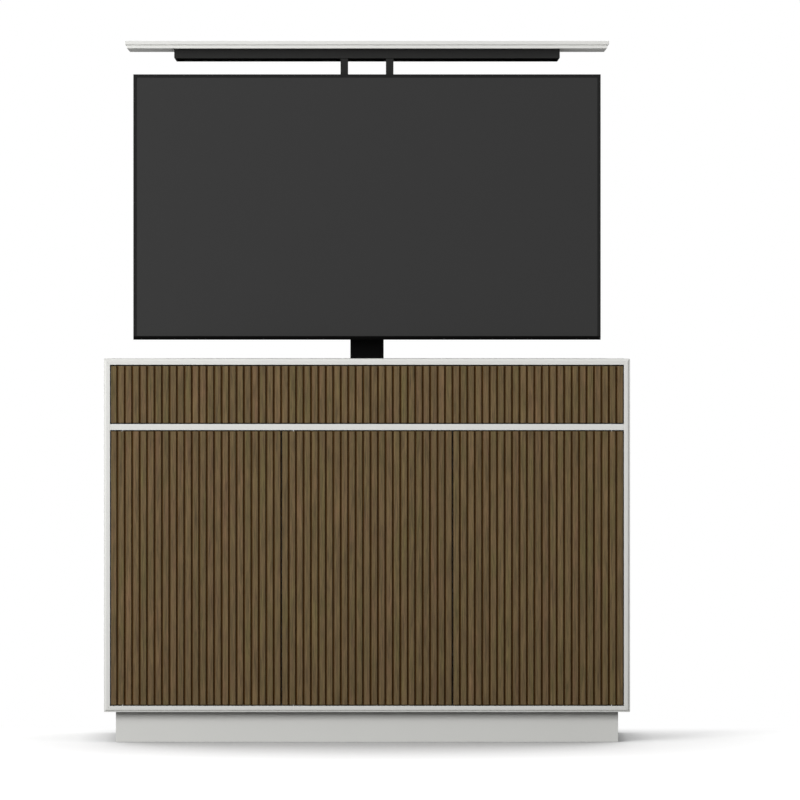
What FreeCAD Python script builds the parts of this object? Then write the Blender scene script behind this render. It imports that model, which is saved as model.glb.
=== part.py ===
import FreeCAD, Part
import os
import Sketcher

# A media cabinet with a slatted front and a motor lift that raises a flat screen and
# its lid out of the top. The lift is modelled in its raised position.
# X runs to the right, Y to the rear and Z up. The origin is on the floor, under the
# middle of the carcass. Lengths are millimetres.

Vector = FreeCAD.Vector
doc = FreeCAD.newDocument("tv_lift_cabinet")

# ---------------------------------------------------------------- driving dimensions

DIMENSIONS = [
    # carcass
    ("cabinet_width", 1370, "outer width of the carcass"),
    ("cabinet_depth", 450, "outer depth of the carcass"),
    ("carcass_height", 920, "height of the carcass above the plinth"),
    ("board", 16, "thickness of the carcass boards"),
    ("edge_bevel", 2.8, "bevel along the outer front edges"),
    ("edge_lip", 2.7, "lip outside that bevel, set back by its depth"),
    ("back_board", 12, "thickness of the back panel"),
    ("partition_board", 12, "thickness of the board between storage and lift bay"),
    ("storage_depth", 198, "from the front plane to the lift bay partition"),
    ("flap_opening", 154, "clear height of the upper opening"),
    ("divider_setback", 46, "from the front plane to the dividers"),
    ("shelf_setback", 50, "from the front plane to the shelves"),
    ("shelf_level", 350, "from the carcass floor to the underside of the shelves"),
    ("shelf_play", 1, "gap at each end of a shelf"),
    ("support_leg", 12, "legs and length of a shelf support angle"),
    ("support_sheet", 1.5, "thickness of a shelf support angle"),
    ("support_inset", 24, "from a shelf edge to its support angles"),
    # plinth
    ("plinth_height", 80, "height of the plinth"),
    ("plinth_inset", 30, "from the carcass faces to the plinth faces"),
    ("plinth_board", 16, "thickness of the plinth boards"),
    ("foot_radius", 20, "levelling foot disc"),
    ("foot_disc", 8, "height of the levelling foot disc"),
    ("foot_stem", 12, "side of the levelling foot's square stem"),
    ("foot_flange", 5, "thickness of the levelling foot's square flange"),
    ("foot_inset", 80, "from the carcass faces to the feet"),
    # fronts
    ("front_gap", 3, "gap above, below and between the fronts"),
    ("side_gap", 2, "gap between a front and the side boards"),
    ("front_backing", 14, "thickness of the board behind the slats"),
    ("slats_per_door", 23, "slats on each door"),
    ("slat_width", 14.2, "width of a slat"),
    ("slat_depth", 6, "how far a slat stands off its board"),
    ("slat_bevel", 1, "bevel on the front edges of a slat"),
    # door pivots
    ("pivot_inset", 30, "from a door's edge to its pivot pin"),
    ("pivot_depth", 10.5, "from the front plane to the pivot pins"),
    ("pivot_pin_radius", 2.5, "pivot pin"),
    ("pivot_pin_engagement", 8, "how far a pivot pin enters its bush"),
    ("pivot_play", 0.3, "radial play of a pivot pin in its bush"),
    ("bush_length", 12, "height of the bush block with its plate"),
    ("pivot_plate_length", 50, "length of a pivot plate"),
    ("pivot_plate_width", 8, "width of a pivot plate and of a bush block"),
    ("pivot_plate", 3, "thickness of a pivot plate"),
    # flap hinge
    ("barrel_radius", 1.4, "barrel of the continuous hinge"),
    ("hinge_pin_radius", 0.7, "pin of the continuous hinge"),
    ("hinge_pin_play", 0.1, "radial play of the hinge pin"),
    ("leaf_width", 14, "width of a hinge leaf from the barrel's axis"),
    ("leaf", 1, "thickness of a hinge leaf"),
    ("knuckle_count", 9, "knuckles of the continuous hinge, an odd number"),
    ("knuckle_play", 0.4, "gap between two knuckles"),
    # push latches
    ("latch_width", 16, "width of a push latch"),
    ("latch_height", 14, "height of a push latch"),
    ("latch_length", 70, "length of a push latch body"),
    ("latch_edge_inset", 40, "from a front's free edge to its push latch"),
    ("flap_latch_inset", 200, "from the flap's ends to its push latches"),
    ("plunger_radius", 4, "push latch plunger"),
    ("plunger_reach", 4, "how far a plunger stands out of its latch"),
    ("plunger_tail", 20, "how deep a plunger lies in its latch"),
    ("plunger_play", 0.3, "play round a plunger and at its tip"),
    # lift bay and its opening in the top
    ("lid_side_rim", 46.5, "from the carcass sides to the lid's ends"),
    ("lid_setback", 212, "from the front plane to the lid's front edge"),
    ("lid_rear_rim", 22, "from the lid's rear edge to the rear of the carcass"),
    ("lid_slab", 8.6, "upper, full part of the lid's edge"),
    ("lid_bevel", 1.8, "bevel under the full part of the lid's edge"),
    ("lid_step", 3, "flat step between that bevel and the lid's lower part"),
    ("lid_plug", 8.8, "height of the lid's lower part"),
    ("lid_play", 1.5, "gap between the lid's lower part and its opening"),
    ("lid_lift_off", 0.4, "gap that the closed lid keeps over the top"),
    ("cable_port_width", 80, "cable port in the back panel"),
    ("cable_port_height", 50, "cable port in the back panel"),
    ("cable_port_side", 420, "from the middle to the cable port's centre"),
    ("cable_port_level", 60, "from the carcass floor to the cable port's centre"),
    ("grommet_wall", 2.5, "wall of the cable port's grommet"),
    ("grommet_flange", 6, "width of the grommet's flange"),
    # lift column
    ("column_depth_centre", 311, "from the front plane to the column's axis"),
    ("base_plate_width", 320, "lift base plate"),
    ("base_plate_depth", 110, "lift base plate"),
    ("base_plate", 6, "thickness of the lift base plate"),
    ("gearbox_height", 40, "height of the gear housing under the column"),
    ("gearbox_side", 64, "from the column's side face to the gear housing's end"),
    ("motor_radius", 25, "lift motor"),
    ("motor_length", 120, "lift motor above the gear housing"),
    ("motor_play", 6, "gap between the motor and the column"),
    ("outer_tube_width", 100, "fixed tube"),
    ("outer_tube_depth", 64, "fixed tube"),
    ("outer_tube_length", 640, "fixed tube"),
    ("middle_tube_width", 88.3, "middle tube"),
    ("middle_tube_depth", 51, "middle tube"),
    ("middle_tube_length", 640, "middle tube"),
    ("inner_tube_width", 74.5, "inner tube"),
    ("inner_tube_depth", 39, "inner tube"),
    ("inner_tube_length", 632, "inner tube"),
    ("tube_wall", 2.5, "wall of the tubes"),
    ("tube_corner", 5, "outer corner radius of the tubes"),
    ("middle_tube_start", 10, "from the gear housing to the lowered middle tube"),
    ("inner_tube_start", 38, "from the gear housing to the lowered inner tube"),
    ("glide_height", 40, "height of a glide pad"),
    ("glide_width", 22, "width of a glide pad"),
    ("glide_play", 0.3, "play between a glide pad and the tube that slides on it"),
    ("spindle_radius", 8, "lift spindle"),
    ("spindle_overrun", 12, "spindle above its nut when the lift is raised"),
    ("nut_height", 22, "spindle nut"),
    ("nut_play", 0.3, "radial play of the spindle in its nut"),
    # control box
    ("control_width", 180, "control box"),
    ("control_depth", 60, "control box"),
    ("control_height", 45, "control box"),
    ("control_side", 230, "from the middle to the control box"),
    ("control_setback", 40, "from the back panel to the control box"),
    ("control_corner", 4, "corner radius of the control box"),
    ("inlet_width", 28, "power inlet"),
    ("inlet_height", 20, "power inlet"),
    ("inlet_reach", 3, "how far the power inlet stands out of the control box"),
    ("inlet_depth", 16, "how deep the power inlet sits in the control box"),
    ("inlet_wall", 3, "wall of the power inlet's shroud"),
    # screen
    ("screen_end_gap", 18.4, "from the screen's ends to the ends of the opening"),
    ("screen_body_height", 700.6, "flat screen"),
    ("screen_setback", 221, "from the front plane to the screen's face"),
    ("screen_above_top", 49.4, "from the carcass top to the raised screen"),
    ("bezel", 8.4, "face width of the frame round the screen"),
    ("bezel_lower", 9.8, "face width of the frame below the screen"),
    ("bezel_chamfer", 7, "chamfer along the frame's lower front edge"),
    ("bezel_depth", 12, "depth of the frame round the screen"),
    ("bezel_proud", 1, "how far the frame stands in front of the glass"),
    ("rear_slab", 10, "depth of the flat part of the rear cover"),
    ("rear_inset", 3, "from the frame's edge to the rear cover's edge"),
    ("rear_wall", 3, "wall of the rear cover"),
    ("bulge_width", 700, "electronics housing on the rear cover"),
    ("bulge_height", 240, "electronics housing on the rear cover"),
    ("bulge_depth", 28, "electronics housing on the rear cover"),
    ("bulge_level", 12, "from the screen's lower edge to the electronics housing"),
    ("bulge_bevel", 14, "bevel of the electronics housing"),
    # screen mount and mast
    ("upright_section", 20, "side of an upright's square section"),
    ("upright_spacing", 120, "between the centres of the uprights"),
    ("upright_wall", 2, "wall of the uprights"),
    ("upright_gap", 1, "gap between the screen's rear and the uprights"),
    ("mount_plate_width", 480, "mount plate"),
    ("mount_plate_height", 200, "mount plate"),
    ("mount_plate", 4, "thickness of the mount plate"),
    ("mount_plate_level", 290, "from the screen's lower edge to the mount plate"),
    ("mount_window_width", 90, "windows in the mount plate"),
    ("mount_window_height", 110, "windows in the mount plate"),
    ("mount_window_spacing", 240, "between the centres of the windows"),
    ("rail_spacing", 400, "between the screen's threaded points"),
    ("rail_width", 34, "mount rail"),
    ("rail_height", 250, "mount rail"),
    ("rail_level", 258, "from the screen's lower edge to the mount rails"),
    ("rail_wall", 2.5, "wall of the mount rails"),
    ("mast_width", 120, "mast plate"),
    ("mast_plate", 6, "thickness of the mast plate"),
    # lid carrier
    ("carrier_gap", 42.4, "from the screen's upper edge to the lid carrier"),
    ("tray_side_inset", 124.1, "from the ends of the lid's lower part to the carrier"),
    ("tray_rear_inset", 4, "from the rear of the lid's lower part to the carrier"),
    ("tray_height", 26, "lid carrier"),
    ("tray_wall", 2, "sheet of the lid carrier"),
    ("tray_fold", 3, "fold radius of the lid carrier"),
]

dims = doc.addObject("Spreadsheet::Sheet", "dims")
for row, (alias, value, note) in enumerate(DIMENSIONS, start=1):
    dims.set(f"A{row}", note)
    dims.set(f"B{row}", str(value))
    dims.setAlias(f"B{row}", alias)
doc.recompute()

# ------------------------------------------------------- places, as sheet expressions

DOOR_NAMES = ("left", "middle", "right")

HALF_WIDTH = "(dims.cabinet_width / 2)"
FRONT = "(-dims.cabinet_depth / 2)"
REAR = "(dims.cabinet_depth / 2)"
CARCASS_FLOOR = "(dims.plinth_height + dims.board)"
CARCASS_TOP = "(dims.plinth_height + dims.carcass_height)"
CEILING = f"({CARCASS_TOP} - dims.board)"
RAIL_TOP = f"({CEILING} - dims.flap_opening)"
RAIL_UNDER = f"({RAIL_TOP} - dims.board)"
INNER_LEFT = f"(dims.board - {HALF_WIDTH})"
INNER_RIGHT = f"({HALF_WIDTH} - dims.board)"
INNER_WIDTH = "(dims.cabinet_width - 2 * dims.board)"
PARTITION_FRONT = f"({FRONT} + dims.storage_depth)"
BAY_REAR = f"({REAR} - dims.back_board)"
MODULE = f"({INNER_WIDTH} / {len(DOOR_NAMES)})"
PITCH = f"({MODULE} / dims.slats_per_door)"
LEFT_DIVISION = f"({INNER_LEFT} + {MODULE})"
RIGHT_DIVISION = f"({INNER_RIGHT} - {MODULE})"
DOOR_FOOT = f"({CARCASS_FLOOR} + dims.front_gap)"
DOOR_HEIGHT = f"({RAIL_UNDER} - {CARCASS_FLOOR} - 2 * dims.front_gap)"
DOOR_HEAD = f"({DOOR_FOOT} + {DOOR_HEIGHT})"
FLAP_FOOT = f"({RAIL_TOP} + dims.front_gap)"
FLAP_HEIGHT = "(dims.flap_opening - 2 * dims.front_gap)"
BACKING_FRONT = f"({FRONT} + dims.slat_depth)"
BACKING_REAR = f"({BACKING_FRONT} + dims.front_backing)"
PIVOT_Y = f"({FRONT} + dims.pivot_depth)"
AXIS_Y = f"({FRONT} + dims.barrel_radius)"
AXIS_Z = f"({RAIL_TOP} + dims.front_gap / 2)"

LID_WIDTH = "(dims.cabinet_width - 2 * dims.lid_side_rim)"
LID_DEPTH = "(dims.cabinet_depth - dims.lid_setback - dims.lid_rear_rim)"
LID_FRONT = f"({FRONT} + dims.lid_setback)"
PLUG_INSET = "(dims.lid_bevel + dims.lid_step)"
PLUG_WIDTH = f"({LID_WIDTH} - 2 * {PLUG_INSET})"
PLUG_DEPTH = f"({LID_DEPTH} - 2 * {PLUG_INSET})"
PLUG_FRONT = f"({LID_FRONT} + {PLUG_INSET})"
OPENING_WIDTH = f"({PLUG_WIDTH} + 2 * dims.lid_play)"
OPENING_DEPTH = f"({PLUG_DEPTH} + 2 * dims.lid_play)"
SCREEN_WIDTH = f"({OPENING_WIDTH} - 2 * dims.screen_end_gap)"
SCREEN_FRONT = f"({FRONT} + dims.screen_setback)"
SCREEN_FOOT = f"({CARCASS_TOP} + dims.screen_above_top)"
SCREEN_BACK = f"({SCREEN_FRONT} + dims.bezel_depth + dims.rear_slab)"
UPRIGHT_FRONT = f"({SCREEN_BACK} + dims.upright_gap)"
MOUNT_FRONT = f"({UPRIGHT_FRONT} + dims.upright_section)"
MOUNT_FOOT = f"({SCREEN_FOOT} + dims.mount_plate_level)"
MAST_FRONT = f"({MOUNT_FRONT} + dims.mount_plate)"
TRAY_UNDER = f"({SCREEN_FOOT} + dims.screen_body_height + dims.carrier_gap)"
LID_UNDER = f"({TRAY_UNDER} + dims.tray_height)"
LID_SHOULDER = f"({LID_UNDER} + dims.lid_plug)"

# the lift lowers the lid onto the top
TRAVEL = f"({LID_SHOULDER} - {CARCASS_TOP} - dims.lid_lift_off)"
GEARBOX_FOOT = f"({CARCASS_FLOOR} + dims.base_plate)"
GEARBOX_TOP = f"({GEARBOX_FOOT} + dims.gearbox_height)"
COLUMN_Y = f"({FRONT} + dims.column_depth_centre)"
MIDDLE_FOOT = f"({GEARBOX_TOP} + dims.middle_tube_start + {TRAVEL} / 2)"
INNER_FOOT = f"({GEARBOX_TOP} + dims.inner_tube_start + {TRAVEL})"
INNER_HEAD = f"({INNER_FOOT} + dims.inner_tube_length)"


def size_of(expression):
    """The value that an expression has now."""
    return float(dims.evalExpression(expression))


def centred(width):
    """The lower end of a length that is centred on zero."""
    return f"(-({width}) / 2)"


# --------------------------------------------------------------------- sketch and body

PLANES = {"X": "YZ_Plane", "Y": "XZ_Plane", "Z": "XY_Plane"}


def new_body(label):
    body = doc.addObject("PartDesign::Body", label)
    body.Label = label
    return body


def new_sketch(body, axis, start):
    """An empty sketch across an axis, at a given place along it."""
    role = PLANES[axis]
    plane = next(item for item in body.Origin.OriginFeatures if item.Role == role)
    sketch = body.newObject("Sketcher::SketchObject", f"sketch_across_{axis.lower()}")
    sketch.AttachmentSupport = [(plane, "")]
    sketch.MapMode = "FlatFace"
    # the XZ plane's normal points to -Y
    sign = "-" if axis == "Y" else ""
    sketch.setExpression("AttachmentOffset.Base.z", f"{sign}({start})")
    return sketch


def tie(sketch, kind, geometry, point, expression):
    """Ties one coordinate of a sketch point to a sheet expression."""
    number = sketch.addConstraint(
        Sketcher.Constraint(kind, -1, 1, geometry, point, size_of(expression)))
    sketch.setExpression(f"Constraints[{number}]", expression)


def draw_outline(sketch, points):
    """A closed outline of straight lines through points given as expressions."""
    corners = [Vector(size_of(u), size_of(v), 0) for u, v in points]
    first = sketch.GeometryCount
    count = len(points)
    for index in range(count):
        line = Part.LineSegment(corners[index], corners[(index + 1) % count])
        sketch.addGeometry(line, False)
    for index in range(count):
        following = first + (index + 1) % count
        sketch.addConstraint(
            Sketcher.Constraint("Coincident", first + index, 2, following, 1))
    for index, (u, v) in enumerate(points):
        tie(sketch, "DistanceX", first + index, 1, u)
        tie(sketch, "DistanceY", first + index, 1, v)


def draw_rectangle(sketch, u, v, width, height):
    far_u = f"{u} + {width}"
    far_v = f"{v} + {height}"
    draw_outline(sketch, [(u, v), (far_u, v), (far_u, far_v), (u, far_v)])


def draw_circle(sketch, u, v, radius):
    centre = Vector(size_of(u), size_of(v), 0)
    number = sketch.addGeometry(
        Part.Circle(centre, Vector(0, 0, 1), size_of(radius)), False)
    tie(sketch, "DistanceX", number, 3, u)
    tie(sketch, "DistanceY", number, 3, v)
    size = sketch.addConstraint(Sketcher.Constraint("Radius", number, size_of(radius)))
    sketch.setExpression(f"Constraints[{size}]", radius)


def pad(body, sketch, axis, length):
    """Material from the sketch towards the positive end of the axis."""
    feature = body.newObject("PartDesign::Pad", "pad")
    feature.Profile = sketch
    feature.Reversed = axis == "Y"
    feature.setExpression("Length", length)
    doc.recompute()
    return feature


def pocket(body, sketch, axis, length):
    """A cut from the sketch towards the positive end of the axis."""
    before = body.Shape.Volume
    feature = body.newObject("PartDesign::Pocket", "pocket")
    feature.Profile = sketch
    feature.Reversed = axis != "Y"
    feature.setExpression("Length", length)
    doc.recompute()
    if not body.Shape.Volume < before:
        raise RuntimeError(f"a pocket of {body.Label} cuts nothing")
    return feature


def pad_rectangle(body, axis, start, length, u, v, width, height):
    sketch = new_sketch(body, axis, start)
    draw_rectangle(sketch, u, v, width, height)
    return pad(body, sketch, axis, length)


def cut_rectangle(body, axis, start, length, u, v, width, height):
    sketch = new_sketch(body, axis, start)
    draw_rectangle(sketch, u, v, width, height)
    return pocket(body, sketch, axis, length)


def pad_circle(body, axis, start, length, u, v, radius):
    sketch = new_sketch(body, axis, start)
    draw_circle(sketch, u, v, radius)
    return pad(body, sketch, axis, length)


def cut_circle(body, axis, start, length, u, v, radius):
    sketch = new_sketch(body, axis, start)
    draw_circle(sketch, u, v, radius)
    return pocket(body, sketch, axis, length)


def repeat(body, feature, axis, step, count):
    """The feature again and again along an axis."""
    pattern = body.newObject("PartDesign::LinearPattern", "repeat")
    pattern.Originals = [feature]
    role = f"{axis}_Axis"
    line = next(item for item in body.Origin.OriginFeatures if item.Role == role)
    pattern.Direction = (line, [""])
    pattern.Mode = "Spacing"
    pattern.setExpression("Offset", step)
    pattern.setExpression("Occurrences", count)
    body.Tip = pattern
    doc.recompute()
    return pattern


DIRECTIONS = {"X": Vector(1, 0, 0), "Y": Vector(0, 1, 0), "Z": Vector(0, 0, 1)}
NEAR = 0.01
ANYWHERE = (None, None, None)


def edges_along(shape, axes, place):
    """The straight edges along any of the axes whose middle lies at a place.

    The place holds an expression for each coordinate, or None where it may be any.
    """
    wanted = [None if item is None else size_of(item) for item in place]
    names = []
    for number, edge in enumerate(shape.Edges, start=1):
        if not isinstance(edge.Curve, Part.Line):
            continue
        line = edge.Curve.Direction
        along = any(line.cross(DIRECTIONS[axis]).Length < NEAR for axis in axes)
        middle = edge.CenterOfMass
        there = all(at is None or abs(at - p) < NEAR for at, p in zip(wanted, middle))
        if along and there:
            names.append(f"Edge{number}")
    return names


def bevel(body, feature, axes, size, place=ANYWHERE):
    chamfer = body.newObject("PartDesign::Chamfer", "bevel")
    chamfer.Base = (feature, edges_along(feature.Shape, axes, place))
    chamfer.setExpression("Size", size)
    doc.recompute()
    return chamfer


def round_edges(body, feature, axes, radius, place=ANYWHERE):
    fillet = body.newObject("PartDesign::Fillet", "rounding")
    fillet.Base = (feature, edges_along(feature.Shape, axes, place))
    fillet.setExpression("Radius", radius)
    doc.recompute()
    return fillet


def plain_board(label, x, y, z, width, depth, height):
    """A rectangular board whose lowest corner is at x, y, z."""
    body = new_body(label)
    pad_rectangle(body, "Z", z, height, x, y, width, depth)
    return body


def group(label, members):
    """Like pieces that share one node, as separate solids."""
    compound = doc.addObject("Part::Compound", label)
    compound.Label = label
    compound.Links = members
    doc.recompute()
    return compound


def new_cylinder(name, axis, x, y, z, radius, length):
    """A round rod that runs from a point towards the positive end of an axis."""
    rod = doc.addObject("Part::Cylinder", name)
    turns = {"X": FreeCAD.Rotation(Vector(0, 1, 0), 90),
             "Y": FreeCAD.Rotation(Vector(1, 0, 0), -90),
             "Z": FreeCAD.Rotation()}
    rod.Placement = FreeCAD.Placement(Vector(), turns[axis])
    rod.setExpression("Radius", radius)
    rod.setExpression("Height", length)
    rod.setExpression("Placement.Base.x", x)
    rod.setExpression("Placement.Base.y", y)
    rod.setExpression("Placement.Base.z", z)
    return rod


# ----------------------------------------------------------------------------- carcass

def shape_front_edge(body, axis, start, length, outer, inward):
    """Bevels the outer front edge and leaves a lip outside the bevel."""
    lip_end = f"{outer} {inward} dims.edge_lip"
    lip_face = f"{FRONT} + dims.edge_bevel"
    points = [(outer, FRONT), (f"{lip_end} {inward} dims.edge_bevel", FRONT),
              (lip_end, lip_face), (outer, lip_face)]
    if axis == "X":
        points = [(v, u) for u, v in points]
    sketch = new_sketch(body, axis, start)
    draw_outline(sketch, points)
    pocket(body, sketch, axis, length)


def carcass_side(label, outer, inner, inward):
    """A side board with mitred ends and a shaped front edge."""
    body = new_body(label)
    sketch = new_sketch(body, "Y", FRONT)
    draw_outline(sketch, [(outer, "dims.plinth_height"), (inner, CARCASS_FLOOR),
                          (inner, CEILING), (outer, CARCASS_TOP)])
    pad(body, sketch, "Y", "dims.cabinet_depth")
    shape_front_edge(body, "Z", "dims.plinth_height", "dims.carcass_height", outer,
                     inward)
    return body


def carcass_slab(label, outer, inner, inward):
    """The top or the floor, mitred into the side boards."""
    body = new_body(label)
    sketch = new_sketch(body, "Y", FRONT)
    draw_outline(sketch, [(f"-{HALF_WIDTH}", outer), (HALF_WIDTH, outer),
                          (INNER_RIGHT, inner), (INNER_LEFT, inner)])
    pad(body, sketch, "Y", "dims.cabinet_depth")
    shape_front_edge(body, "X", f"-{HALF_WIDTH}", "dims.cabinet_width", outer, inward)
    return body


left_side = carcass_side("left_side", f"-{HALF_WIDTH}", INNER_LEFT, "+")
right_side = carcass_side("right_side", HALF_WIDTH, INNER_RIGHT, "-")
top_board = carcass_slab("top_board", CARCASS_TOP, CEILING, "-")
cut_rectangle(top_board, "Z", CEILING, "dims.board", centred(OPENING_WIDTH),
              f"{PLUG_FRONT} - dims.lid_play", OPENING_WIDTH, OPENING_DEPTH)
bottom_board = carcass_slab("bottom_board", "dims.plinth_height", CARCASS_FLOOR, "+")
middle_rail = plain_board("middle_rail", INNER_LEFT, FRONT, RAIL_UNDER,
                          INNER_WIDTH, "dims.storage_depth", "dims.board")

PORT_X = "(-dims.cable_port_side - dims.cable_port_width / 2)"
PORT_Z = f"({CARCASS_FLOOR} + dims.cable_port_level - dims.cable_port_height / 2)"

back_panel = plain_board("back_panel", INNER_LEFT, BAY_REAR, CARCASS_FLOOR,
                         INNER_WIDTH, "dims.back_board", f"({CEILING} - {CARCASS_FLOOR})")
cut_rectangle(back_panel, "Y", BAY_REAR, "dims.back_board", PORT_X, PORT_Z,
              "dims.cable_port_width", "dims.cable_port_height")

bay_partition = plain_board("bay_partition", INNER_LEFT, PARTITION_FRONT, CARCASS_FLOOR,
                            INNER_WIDTH, "dims.partition_board",
                            f"({CEILING} - {CARCASS_FLOOR})")

DIVIDER_FRONT = f"({FRONT} + dims.divider_setback)"
DIVIDER_DEPTH = "(dims.storage_depth - dims.divider_setback)"
BAY_HEIGHT = f"({RAIL_UNDER} - {CARCASS_FLOOR})"

left_divider = plain_board("left_divider", f"{LEFT_DIVISION} - dims.board / 2",
                           DIVIDER_FRONT, CARCASS_FLOOR,
                           "dims.board", DIVIDER_DEPTH, BAY_HEIGHT)
right_divider = plain_board("right_divider", f"{RIGHT_DIVISION} - dims.board / 2",
                            DIVIDER_FRONT, CARCASS_FLOOR,
                            "dims.board", DIVIDER_DEPTH, BAY_HEIGHT)

# The clear width of each storage bay, from its left wall to its right wall.
BAYS = {
    "left": (INNER_LEFT, f"({LEFT_DIVISION} - dims.board / 2)"),
    "middle": (f"({LEFT_DIVISION} + dims.board / 2)",
               f"({RIGHT_DIVISION} - dims.board / 2)"),
    "right": (f"({RIGHT_DIVISION} + dims.board / 2)", INNER_RIGHT),
}
SHELF_UNDER = f"({CARCASS_FLOOR} + dims.shelf_level)"
SHELF_FRONT = f"({FRONT} + dims.shelf_setback)"
SHELF_DEPTH = "(dims.storage_depth - dims.shelf_setback - dims.shelf_play)"
SHELF_REAR = f"({SHELF_FRONT} + {SHELF_DEPTH})"

shelves = [plain_board(f"{bay}_shelf", f"{wall_left} + dims.shelf_play",
                       SHELF_FRONT, SHELF_UNDER,
                       f"({wall_right} - {wall_left} - 2 * dims.shelf_play)",
                       SHELF_DEPTH, "dims.board")
           for bay, (wall_left, wall_right) in BAYS.items()]


def draw_angle(sketch, wall, side):
    """The section of a shelf support, on a wall that lies to one side of its bay."""
    sheet = f"{wall} + {side} * dims.support_sheet"
    leg = f"{wall} + {side} * dims.support_leg"
    draw_outline(sketch, [
        (wall, SHELF_UNDER), (leg, SHELF_UNDER),
        (leg, f"{SHELF_UNDER} - dims.support_sheet"),
        (sheet, f"{SHELF_UNDER} - dims.support_sheet"),
        (sheet, f"{SHELF_UNDER} - dims.support_leg"),
        (wall, f"{SHELF_UNDER} - dims.support_leg")])


shelf_supports = new_body("shelf_supports")
for support_y in (f"({SHELF_FRONT} + dims.support_inset)",
                  f"({SHELF_REAR} - dims.support_inset - dims.support_leg)"):
    for wall_left, wall_right in BAYS.values():
        support_sketch = new_sketch(shelf_supports, "Y", support_y)
        draw_angle(support_sketch, wall_left, "1")
        draw_angle(support_sketch, wall_right, "-1")
        pad(shelf_supports, support_sketch, "Y", "dims.support_leg")

# ------------------------------------------------------------------------------ plinth

PLINTH_WIDTH = "(dims.cabinet_width - 2 * dims.plinth_inset)"
PLINTH_DEPTH = "(dims.cabinet_depth - 2 * dims.plinth_inset)"
PLINTH_SIDE_DEPTH = f"({PLINTH_DEPTH} - 2 * dims.plinth_board)"

plinth_boards = [
    plain_board("plinth_front", centred(PLINTH_WIDTH), centred(PLINTH_DEPTH), "0",
                PLINTH_WIDTH, "dims.plinth_board", "dims.plinth_height"),
    plain_board("plinth_rear", centred(PLINTH_WIDTH),
                f"{PLINTH_DEPTH} / 2 - dims.plinth_board", "0",
                PLINTH_WIDTH, "dims.plinth_board", "dims.plinth_height"),
    plain_board("plinth_left", centred(PLINTH_WIDTH), centred(PLINTH_SIDE_DEPTH), "0",
                "dims.plinth_board", PLINTH_SIDE_DEPTH, "dims.plinth_height"),
    plain_board("plinth_right", f"{PLINTH_WIDTH} / 2 - dims.plinth_board",
                centred(PLINTH_SIDE_DEPTH), "0",
                "dims.plinth_board", PLINTH_SIDE_DEPTH, "dims.plinth_height"),
]


def levelling_foot(name, x, y):
    """A disc on the floor, a stem and a flange under the carcass floor."""
    body = new_body(name)
    pad_circle(body, "Z", "0", "dims.foot_disc", "0", "0", "dims.foot_radius")
    pad_rectangle(body, "Z", "dims.foot_disc", "dims.plinth_height - dims.foot_disc",
                  "-dims.foot_stem / 2", "-dims.foot_stem / 2",
                  "dims.foot_stem", "dims.foot_stem")
    pad_rectangle(body, "Z", "dims.plinth_height - dims.foot_flange", "dims.foot_flange",
                  "-dims.foot_radius", "-dims.foot_radius",
                  "2 * dims.foot_radius", "2 * dims.foot_radius")
    body.setExpression("Placement.Base.x", x)
    body.setExpression("Placement.Base.y", y)
    return body


FOOT_X = f"({HALF_WIDTH} - dims.foot_inset)"
FOOT_Y = f"({REAR} - dims.foot_inset)"
levelling_feet = group("levelling_feet", [
    levelling_foot("foot_front_left", f"-{FOOT_X}", f"-{FOOT_Y}"),
    levelling_foot("foot_front_right", FOOT_X, f"-{FOOT_Y}"),
    levelling_foot("foot_rear_left", f"-{FOOT_X}", FOOT_Y),
    levelling_foot("foot_rear_right", FOOT_X, FOOT_Y),
])

# -------------------------------------------------------------------------- slat fronts


def slat_row(label, first, count, foot, height):
    """A row of bevelled upright slats, spaced evenly across its front."""
    body = new_body(label)
    left = f"({first} + ({PITCH} - dims.slat_width) / 2)"
    right = f"({left} + dims.slat_width)"
    shoulder = f"{FRONT} + dims.slat_bevel"
    sketch = new_sketch(body, "Z", foot)
    draw_outline(sketch, [
        (left, BACKING_FRONT), (left, shoulder), (f"{left} + dims.slat_bevel", FRONT),
        (f"{right} - dims.slat_bevel", FRONT), (right, shoulder), (right, BACKING_FRONT)])
    slat = pad(body, sketch, "Z", height)
    repeat(body, slat, "X", PITCH, count)
    return body


# Left to right: where each door's module starts and where its edges are.
MODULE_STARTS = dict(zip(DOOR_NAMES, (INNER_LEFT, LEFT_DIVISION, RIGHT_DIVISION)))
DOOR_EDGES = {
    "left": (f"({INNER_LEFT} + dims.side_gap)", f"({LEFT_DIVISION} - dims.front_gap / 2)"),
    "middle": (f"({LEFT_DIVISION} + dims.front_gap / 2)",
               f"({RIGHT_DIVISION} - dims.front_gap / 2)"),
    "right": (f"({RIGHT_DIVISION} + dims.front_gap / 2)",
              f"({INNER_RIGHT} - dims.side_gap)"),
}
# The left and middle doors are hung on their left, the right one on its right.
PIVOT_X = {
    "left": f"({DOOR_EDGES['left'][0]} + dims.pivot_inset)",
    "middle": f"({DOOR_EDGES['middle'][0]} + dims.pivot_inset)",
    "right": f"({DOOR_EDGES['right'][1]} - dims.pivot_inset)",
}
PLATE_DEPTH = "dims.pivot_plate_width"
BUSH_FOOT = f"({DOOR_HEAD} - dims.bush_length)"


def pivot_rectangle(make, body, name, start, length, width):
    """Material or a cut of the plates' depth, centred on a door's pivot."""
    make(body, "Z", start, length, f"{PIVOT_X[name]} - {width} / 2",
         f"{PIVOT_Y} - {PLATE_DEPTH} / 2", width, PLATE_DEPTH)


def pivot_plate(make, body, name, level):
    pivot_rectangle(make, body, name, level, "dims.pivot_plate",
                    "dims.pivot_plate_length")


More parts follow.
